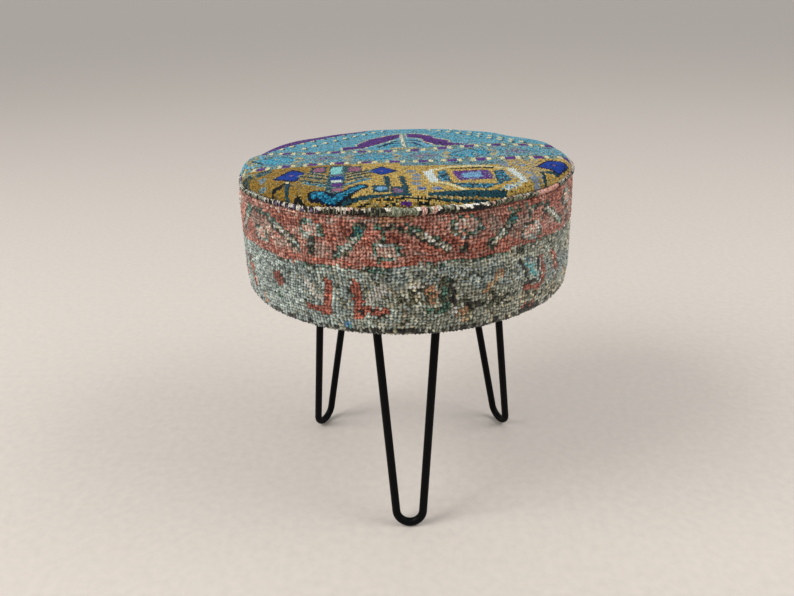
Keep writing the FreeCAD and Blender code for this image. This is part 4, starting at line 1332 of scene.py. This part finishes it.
# %% Runs of the welt
WELT_RUNS = [
    (-180, 1.0, ("moss", "bone", "blush"), ("black wool", "moss")),
    (-120, 0.9, ("bone", "moss", "black wool"), ("black wool", "dark olive")),
    (-75, 0.9, ("bone", "mint", "black wool", "moss"), ("black wool", "moss", "black wool", "moss")),
    (-48, 1.0, ("bone", "bone", "black wool"), ("black wool", "bone", "mauve", "black wool")),
    (-25, 1.2, ("blush", "bone", "bone", "blush"), ("black wool", "bone", "black wool", "dark olive")),
    (-12.5, 0.9, ("blush", "bone"), ("black wool",)),
    (-10.5, 0.9, ("black wool", "dark olive", "bone"), ("black wool", "dark olive")),
    (-5.5, 0.3, ("moss", "bone", "moss"), ("moss", "dark olive")),
    (3.7, 0.6, ("bone", "blush", "moss"), ("blush", "moss", "black wool")),
    (11, 0.6, ("bone", "moss"), ("black wool", "dark olive")),
    (15.5, 0.42, ("ivory", "ivory", "bone"), ("black wool", "black wool")),
    (26, 0.9, ("bone", "blush", "moss", "black wool"), ("black wool", "dark olive", "moss")),
    (44.5, 0.8, ("blush", "coral", "blush"), ("coral", "blush")),
    (57, 0.9, ("bone", "mint", "blush", "black wool"), ("black wool", "leaf green", "moss")),
    (75, 1.0, ("moss", "bone", "blush"), ("black wool", "slate")),
    (130, 0.9, ("bone", "moss", "black wool"), ("black wool", "grey green")),
]
STITCHES_PER_DEGREE = 2.3

starts, closeness, upper_wools, lower_wools = zip(*WELT_RUNS)
run_starts = np.array([*starts, 180.0])
run_counts = np.diff(run_starts) * STITCHES_PER_DEGREE * np.array(closeness)
run_marks = np.round(np.concatenate([[0], np.cumsum(run_counts)]))
stitches = int(run_marks[-1])
print("stitches:", stitches)

# %% Build the welt
WELT_STEPS = 2600
WELT_SIDES = 16
WELT_SEED = 3
STITCH_SLANT = 0.9
STITCH_DIP = 0.34
STITCH_LEAST = 0.75
STITCH_RANGE = 0.45
WELT_SHRINK = 0.54
FRONT_SWELL = 0.4
FRONT_SWELL_REACH = math.radians(32)
JOIN_TURN = math.radians(-12.5)
JOIN_PINCH = 0.3
JOIN_REACH = 0.025
WELT_SINK = 3.4 * MM
FRONT_RAISED = 0.4
FRONT_REACH = math.radians(38)
RIGHT_TURN = math.radians(105)
RIGHT_RAISED = 0.9
RIGHT_REACH = math.radians(45)
RIGHT_SPREAD = 1.2 * MM
RADIUS_WOBBLE = (11, 0.5 * MM)
HEIGHT_WOBBLE = (9, 0.6 * MM)

welt_random = np.random.default_rng(WELT_SEED)
roll_side, trip = np.indices((WELT_SIDES, WELT_STEPS))
round_roll = roll_side / WELT_SIDES * 2 * math.pi
welt_turn = from_back(trip, WELT_STEPS)
stitch = np.interp(np.degrees(welt_turn), run_starts, run_marks) - STITCH_SLANT * np.cos(round_roll)
stitch_number = np.floor(stitch).astype(int) % stitches
stitch_swell = np.sqrt(np.abs(np.sin(math.pi * stitch)))
pinch = 1 - JOIN_PINCH * hump(welt_turn, JOIN_TURN, JOIN_REACH)
fat = STITCH_LEAST + STITCH_RANGE * welt_random.random(stitches)
plump = WELT_SHRINK + FRONT_SWELL * hump(welt_turn, 0, FRONT_SWELL_REACH)
thick = WELT_THICKNESS / 2 * plump * pinch * fat[stitch_number]
thick = thick * (1 - STITCH_DIP + STITCH_DIP * stitch_swell)
at_right = hump(welt_turn, RIGHT_TURN, RIGHT_REACH)
raised = FRONT_RAISED * hump(welt_turn, 0, FRONT_REACH) + RIGHT_RAISED * at_right
ring_radius = WELT_RING + wobble(welt_turn, *RADIUS_WOBBLE) + RIGHT_SPREAD * at_right
ring_height = WELT_HEIGHT - WELT_SINK * (1 - raised) + wobble(welt_turn, *HEIGHT_WOBBLE)
roll_radius = ring_radius + thick * np.cos(round_roll)
roll_height = ring_height + thick * np.sin(round_roll)
welt_points = lean(around(welt_turn, roll_radius, roll_height)).reshape(-1, 3)
welt_faces = grid_quads(WELT_SIDES, WELT_STEPS, ring_of_rows=True)
welt = make_piece("whipped_welt", welt_points, welt_faces, "welt_wool", "rim_welt")

# %% Dye the welt
WELT_STRIPS = 6
WELT_UNEVENNESS = 0.25
UPPER_FROM = math.radians(32)
UPPER_TO = math.radians(200)
UPPER_STRAY = 0.5

run_of = np.searchsorted(run_marks, np.arange(stitches), side="right") - 1
picked = []
for wools in (upper_wools, lower_wools):
    names = [welt_random.choice(wools[run]) for run in run_of]
    picked.append(np.array([YARN_NAMES.index(name) for name in names])[stitch_number])
stray = welt_random.normal(0, UPPER_STRAY, stitches)[stitch_number]
is_upper = (round_roll > UPPER_FROM + stray) & (round_roll < UPPER_TO + stray)
welt_yarn = np.where(is_upper, *picked)
dye(welt, dyed(welt_yarn, welt_random, WELT_UNEVENNESS).reshape(-1, 3))
# Painted shade: the dips between stitches get low values, so their colour is darkened.
paint_pile_shade(welt, stitch_swell)
unwrap(welt, strips(WELT_SIDES, WELT_STEPS, WELT_STRIPS))
print("welt dyed in", len(WELT_RUNS), "runs")

# %% [markdown]
# ## Inside and underneath
# The foam, the two waddings and the dust cloth don't show from above, but a stool that is turned over
# or taken apart has them. The foam and the waddings are turned sections: a closed outline carried round
# the axis. The dust cloth is a thin sheet, stretched and stapled under the base, which sags a hair
# between its staples.

# %% Turned soft pieces
TURNED_SPOKES = 128
PAD_WAVE = 0.1 * MM
PAD_WAVES = 6
NEAR_AXIS = 10.0 * MM
SMALLEST_RADIUS = 0.4 * MM
CORNER_POINTS = 7
CROWN_POINTS = 8
PADS = [
    ("seat_foam", "seat_foam_pad", "foam", 6.0 * MM, 0.0, CROWN_RISE, 0.9),
    ("seat_wadding", "seat_wadding_cap", "wadding", 2.0 * MM, 0.0, CROWN_RISE, 0.4),
    ("side_wadding", "side_wadding_wrap", "wadding", 1.5 * MM, 4.2 * MM, 0.0, 0.4),
]
turned_angle = from_back(np.arange(TURNED_SPOKES), TURNED_SPOKES)


def turned(outline):
    """A closed outline of radius and height carried round the axis, with a small uneven wave round
    it."""
    wave = PAD_WAVE * wobble(turned_angle, PAD_WAVES, 1.0)
    radius = outline[:, :1] + wave * (outline[:, :1] > NEAR_AXIS)
    height = np.broadcast_to(outline[:, 1:], radius.shape)
    points = lean(around(np.broadcast_to(turned_angle, radius.shape), radius, height))
    return points.reshape(-1, 3), grid_quads(*radius.shape, ring_of_rows=True)


def rounded(low, high, inner, corner, crown):
    """Outline of a pad from its low and high corners, its inner radius, the radius of its outer corners
    and the height that its crown adds: up the outside, round the corner, over the crown to the inner
    radius and back underneath."""
    turn = np.linspace(0, math.pi / 2, CORNER_POINTS)
    edge = high[0] - corner
    foot = np.stack([edge + corner * np.sin(turn), low[2] + corner * (1 - np.cos(turn))], axis=1)
    shoulder_height = high[2] - crown - corner * (1 - np.sin(turn))
    shoulder = np.stack([edge + corner * np.cos(turn), shoulder_height], axis=1)
    over_radius = inner + (edge - inner) * np.linspace(1, 0, CROWN_POINTS)[1:]
    over = np.stack([over_radius, high[2] - crown * (over_radius / edge) ** 2], axis=1)
    return np.concatenate([foot, shoulder, over, [[inner, low[2]]]])


for node, name, slot, corner, wall, crown, fill in PADS:
    low, high = extent(node)
    inner_radius = high[0] - wall if wall else SMALLEST_RADIUS
    points, faces = turned(rounded(low, high, inner_radius, corner, crown))
    make_piece(name, points, faces, slot, node)

# %% Dust cloth
DUST_RINGS = 40
DUST_SAG = 0.35 * MM
DUST_WOBBLE = (3, 0.3)
DUST_MIDDLE = 0.004

dust_low, dust_high = extent("dust_cover")
dust_share = np.linspace(1, DUST_MIDDLE, DUST_RINGS)[:, None]
ripple = DUST_SAG * np.sin(dust_share * math.pi) * wobble(turned_angle, *DUST_WOBBLE)
dust_angle = np.broadcast_to(turned_angle, ripple.shape)
dust_radius = np.broadcast_to(dust_high[0] * dust_share, ripple.shape)
under_face = around(dust_angle, dust_radius, dust_low[2] + ripple)[::-1]
upper_face = around(dust_angle, dust_radius, dust_high[2])
dust_points = np.concatenate([under_face, upper_face]).reshape(-1, 3)
dust_faces = grid_quads(2 * DUST_RINGS, TURNED_SPOKES, ring_of_rows=True)
dust_cloth = make_piece("dust_cloth_sheet", dust_points, dust_faces, "dust_cloth", "dust_cover")

# %% [markdown]
# ## Finishes
# Effects that several finishes share are node groups, built once: the painted shade in the gaps of
# the pile and its loose fibres, the grain of wood and the fine skin of paint or plate. A group only
# gives colours, roughness and heights, and each material keeps its own shader.

# %% Node helpers
COLOUR_SOCKETS = {"Yarn", "Light", "Dark", "Base", "Colour"}
MIX_A, MIX_B, MIX_RESULT = 6, 7, 2
NOISE_RANGE = (0.25, 0.75)


def feed(tree, value, socket):
    """Gives a socket its value, which is a link from another node or a plain number or colour."""
    if isinstance(value, bpy.types.NodeSocket):
        tree.links.new(value, socket)
    else:
        socket.default_value = value


def add_node(tree, kind, inputs, **settings):
    """A node with its settings, and with values for its inputs by name or number."""
    node = tree.nodes.new("ShaderNode" + kind)
    for name, value in settings.items():
        setattr(node, name, value)
    for key, value in inputs.items():
        feed(tree, value, node.inputs[key])
    return node


def new_group(name, inputs, outputs):
    """An empty shader node group with named inputs and outputs. Returns it with its two end nodes."""
    group = bpy.data.node_groups.new(name, "ShaderNodeTree")
    for in_out, sockets in (("INPUT", inputs), ("OUTPUT", outputs)):
        for socket in sockets:
            kind = "NodeSocketColor" if socket in COLOUR_SOCKETS else "NodeSocketFloat"
            group.interface.new_socket(socket, in_out=in_out, socket_type=kind)
    return group, group.nodes.new("NodeGroupInput").outputs, group.nodes.new("NodeGroupOutput").inputs


def math_node(tree, operation, first, second):
    """A Math node whose two inputs are links or plain numbers."""
    return add_node(tree, "Math", {0: first, 1: second}, operation=operation).outputs[0]


def spread_value(tree, value, low, high):
    """Maps a value from the range where noise mostly lies to another range."""
    inputs = {"Value": value, 1: NOISE_RANGE[0], 2: NOISE_RANGE[1], 3: low, 4: high}
    return add_node(tree, "MapRange", inputs).outputs["Result"]


def scaled_colour(tree, colour, factor):
    """A colour link times a number link."""
    inputs = {0: colour, "Scale": factor}
    return add_node(tree, "VectorMath", inputs, operation="SCALE").outputs["Vector"]


def noise(tree, scale, detail, stretch=None):
    """Noise on the piece's own coordinates, in cycles to the metre, stretched along an axis where one
    is given."""
    place = add_node(tree, "TexCoord", {}).outputs["Object"]
    if stretch:
        place = add_node(tree, "Mapping", {"Scale": stretch, "Vector": place}).outputs["Vector"]
    inputs = {"Vector": place, "Detail": detail, "Scale": scale}
    return add_node(tree, "TexNoise", inputs).outputs["Fac"]


# %% Shared effects
GAP_SHADE_FALL = 1.25
FIBRE_DETAIL = 3.0
FIBRE_LIGHT = (0.8, 1.2)
STREAKS = (60.0, 4.0, (0.08, 1.0, 1.0))
PORES = (700.0, 2.0, (0.05, 1.0, 1.0))
PORE_SHADE = (0.6, 1.0)
SKIN_DETAIL = 2.0
CLOUDS = (90.0, 3.0)
CLOUD_LIGHT = (0.95, 1.05)
CLOUD_ROUGHNESS = (0.88, 1.12)


def pile_group():
    """Wool pile: the yarn's colour with painted shade, darkened down in the gaps, broken by loose
    fibres, and the fibres' height."""
    inputs = ("Yarn", "Painted Pile Light", "Gap Shade", "Fibres")
    group, given, out = new_group("wool pile", inputs, ("Colour", "Height"))
    fibre = noise(group, given["Fibres"], FIBRE_DETAIL)
    # Painted shade: where the pile value is low, down in the gaps, the colour is darkened towards the
    # gap shade.
    shade = math_node(group, "POWER", given["Painted Pile Light"], GAP_SHADE_FALL)
    lit = math_node(group, "MULTIPLY", math_node(group, "SUBTRACT", 1.0, given["Gap Shade"]), shade)
    lit = math_node(group, "ADD", given["Gap Shade"], lit)
    factor = math_node(group, "MULTIPLY", lit, spread_value(group, fibre, *FIBRE_LIGHT))
    feed(group, scaled_colour(group, given["Yarn"], factor), out["Colour"])
    feed(group, fibre, out["Height"])
    return group


def grain_group():
    """Wood: two colours mixed by long streaks and fine pores, and the pores' height."""
    group, given, out = new_group("wood grain", ("Light", "Dark"), ("Colour", "Height"))
    streak = spread_value(group, noise(group, *STREAKS), 0.0, 1.0)
    pore = noise(group, *PORES)
    amount = math_node(group, "MULTIPLY", streak, spread_value(group, pore, *PORE_SHADE))
    colours = {"Factor": amount, MIX_A: given["Light"], MIX_B: given["Dark"]}
    mix = add_node(group, "Mix", colours, data_type="RGBA")
    feed(group, mix.outputs[MIX_RESULT], out["Colour"])
    feed(group, pore, out["Height"])
    return group


def skin_group():
    """Paint, plate or felt: a colour that varies a little, a roughness that varies with it and a fine
    skin's height."""
    outputs = ("Colour", "Roughness", "Height")
    group, given, out = new_group("fine skin", ("Base", "Scale", "Rough"), outputs)
    cloud = noise(group, *CLOUDS)
    light = spread_value(group, cloud, *CLOUD_LIGHT)
    rough = spread_value(group, cloud, *CLOUD_ROUGHNESS)
    feed(group, scaled_colour(group, given["Base"], light), out["Colour"])
    feed(group, math_node(group, "MULTIPLY", given["Rough"], rough), out["Roughness"])
    feed(group, noise(group, given["Scale"], SKIN_DETAIL), out["Height"])
    return group


PILE_WITH_GAP_SHADE = pile_group()
WOOD_GRAIN = grain_group()
FINE_SKIN = skin_group()
print("shared effects:", [group.name for group in (PILE_WITH_GAP_SHADE, WOOD_GRAIN, FINE_SKIN)])

# %% Materials
WOOL = {"Roughness": 0.95, "Specular IOR Level": 0.15, "Sheen Roughness": 0.5}
WOOD = {"Roughness": 0.6, "Specular IOR Level": 0.35}
WOOD_DEPTH = 0.05 * MM
PAINT = {"Specular IOR Level": 0.08}
PLATE = {"Metallic": 1.0}


def finish(name, group, values, depth, plain):
    """A material with one shared effect in front of its shader. values go to the group's inputs, where
    a name reads that attribute of the mesh. depth is the height of its bumps in metres, and plain holds
    what is the same all over."""
    material = bpy.data.materials.new(name)
    material.use_nodes = True
    tree = material.node_tree
    shader = tree.nodes["Principled BSDF"]
    effect = add_node(tree, "Group", {}, node_tree=group)
    for socket, value in values.items():
        if isinstance(value, str):
            reader = add_node(tree, "Attribute", {}, attribute_name=value)
            value = reader.outputs["Color" if socket in COLOUR_SOCKETS else "Fac"]
        feed(tree, value, effect.inputs[socket])
    for socket, value in plain.items():
        shader.inputs[socket].default_value = value
    bump = add_node(tree, "Bump", {"Distance": depth, "Height": effect.outputs["Height"]})
    feed(tree, bump.outputs["Normal"], shader.inputs["Normal"])
    feed(tree, effect.outputs["Colour"], shader.inputs["Base Color"])
    if "Roughness" in effect.outputs:
        feed(tree, effect.outputs["Roughness"], shader.inputs["Roughness"])
    return material


def screen(rgb):
    """A screen colour as the four numbers of a colour socket."""
    return (*linear(rgb), 1.0)


def wool(name, gap_shade, fibres, depth, fuzz):
    """Knotted or whipped wool: reads its dye and pile from the mesh, and paints shade in the gaps."""
    values = {"Yarn": "yarn", "Painted Pile Light": "pile", "Gap Shade": gap_shade, "Fibres": fibres}
    return finish(name, PILE_WITH_GAP_SHADE, values, depth, WOOL | {"Sheen Weight": fuzz})


def wood(name, light, dark):
    """Bare wood between two screen colours."""
    return finish(name, WOOD_GRAIN, {"Light": screen(light), "Dark": screen(dark)}, WOOD_DEPTH, WOOD)


def skin(name, base, scale, rough, depth, plain=None):
    """Anything plain, from a screen colour, the fineness of its skin and a roughness."""
    values = {"Base": screen(base), "Scale": scale, "Rough": rough}
    return finish(name, FINE_SKIN, values, depth, plain or {})


# %% Finishes of the pieces
FINISHES = {
    # The second number of a wool is its painted gap shade: how bright the colour stays in the gaps.
    "top_rug": wool("fine wool pile", 0.42, 1500.0, 0.25 * MM, 0.03),
    "side_rug": wool("coarse wool pile", 0.04, 900.0, 0.5 * MM, 0.2),
    "welt_wool": wool("whipped wool", 0.25, 1100.0, 0.3 * MM, 0.1),
    "plywood": wood("birch plywood", (214, 186, 144), (176, 140, 98)),
    "pine": wood("planed pine", (226, 194, 142), (190, 146, 92)),
    "hardboard": wood("hardboard", (134, 98, 66), (104, 72, 46)),
    "foam": skin("upholstery foam", (232, 216, 170), 900.0, 0.95, 0.6 * MM),
    "wadding": skin("polyester wadding", (238, 236, 230), 500.0, 1.0, 1.0 * MM),
    "dust_cloth": skin("black dust cloth", (34, 34, 36), 1400.0, 0.9, 0.15 * MM),
    "black_steel": skin("satin black paint", (4, 4, 5), 2600.0, 0.5, 0.02 * MM, PAINT),
    "zinc_steel": skin("zinc plate", (196, 196, 190), 1500.0, 0.38, 0.01 * MM, PLATE),
}

node_slots = {part["node"]: part["material_slot"] for part in frame["record"]["subparts"]}
for node, piece in frame["nodes"].items():
    piece.data.materials.clear()
    piece.data.materials.append(FINISHES[node_slots[node]])
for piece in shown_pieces():
    if "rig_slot" in piece:
        piece.data.materials.append(FINISHES[piece["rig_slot"]])
print("finishes:", len(FINISHES))

# %% [markdown]
# ## Stage
# A plain pale floor, a pale world that lights from all round and two large soft lamps, the stronger one
# at the left. The lamps are set so that a white card on the seat would be just white, and colours come
# out about as they are written.

# %% Floor and light
FLOOR_HALF = 60.0
FLOOR_COLOUR = (200, 191, 181)
WORLD_COLOUR = (232, 232, 234)
WORLD_STRENGTH = 0.8
LAMPS = {
    "key": ((-2.6, -1.2, 2.8), 2.0, 100.0),
    "fill": ((2.6, -0.5, 2.6), 2.0, 55.0),
}

floor_points = np.array([(-1, -1, 0), (1, -1, 0), (1, 1, 0), (-1, 1, 0)]) * FLOOR_HALF
floor = add_object("floor", make_mesh("floor", floor_points, np.array([[0, 1, 2, 3]])))
floor.data.materials.append(skin("pale floor", FLOOR_COLOUR, 300.0, 0.7, 0.02 * MM))

world = bpy.data.worlds.new("studio")
world.use_nodes = True
background = world.node_tree.nodes["Background"]
background.inputs["Color"].default_value = screen(WORLD_COLOUR)
background.inputs["Strength"].default_value = WORLD_STRENGTH
bpy.context.scene.world = world

for name, (place, size, power) in LAMPS.items():
    light = bpy.data.lights.new(name, "AREA")
    light.size = size
    light.energy = power
    away = Vector(place) - Vector((0, 0, WELT_HEIGHT))
    add_object(name, light).matrix_world = Matrix.LocRotScale(place, away.to_track_quat("Z", "Y"), None)
print("lamps:", list(LAMPS))

# %% [markdown]
# ## Camera
# The camera stands where the photo was taken. Its place and turns were solved from the rim, the bottom
# edge and the three feet, so only the focal length in pixels and the frame's width are needed for the
# lens.

# %% Camera
FRAME_WIDTH = 794
FOCAL_PIXELS = 731.2
SENSOR_WIDTH = 36.0
CAMERA_PLACE = (0.0201, -0.8744, 0.621)
CAMERA_PITCH = 0.4107
CAMERA_YAW = -0.0391
CAMERA_ROLL = -0.0288

lens = bpy.data.cameras.new("photo")
lens.sensor_width = SENSOR_WIDTH
lens.lens = FOCAL_PIXELS / FRAME_WIDTH * SENSOR_WIDTH
camera = add_object("photo", lens)
heading = np.array([math.sin(CAMERA_YAW), math.cos(CAMERA_YAW), 0.0])
level = np.array([math.cos(CAMERA_YAW), -math.sin(CAMERA_YAW), 0.0])
forward = heading * math.cos(CAMERA_PITCH) - np.array([0.0, 0.0, math.sin(CAMERA_PITCH)])
upward = np.cross(level, forward)
camera_right = level * math.cos(CAMERA_ROLL) + upward * math.sin(CAMERA_ROLL)
camera_up = upward * math.cos(CAMERA_ROLL) - level * math.sin(CAMERA_ROLL)
camera_matrix = np.eye(4)
camera_matrix[:3] = np.stack([camera_right, camera_up, -forward, CAMERA_PLACE], axis=1)
camera.matrix_world = Matrix(camera_matrix.tolist())
bpy.context.scene.camera = camera
bpy.context.scene.view_settings.view_transform = "Standard"
print("lens", round(lens.lens, 2), "mm")
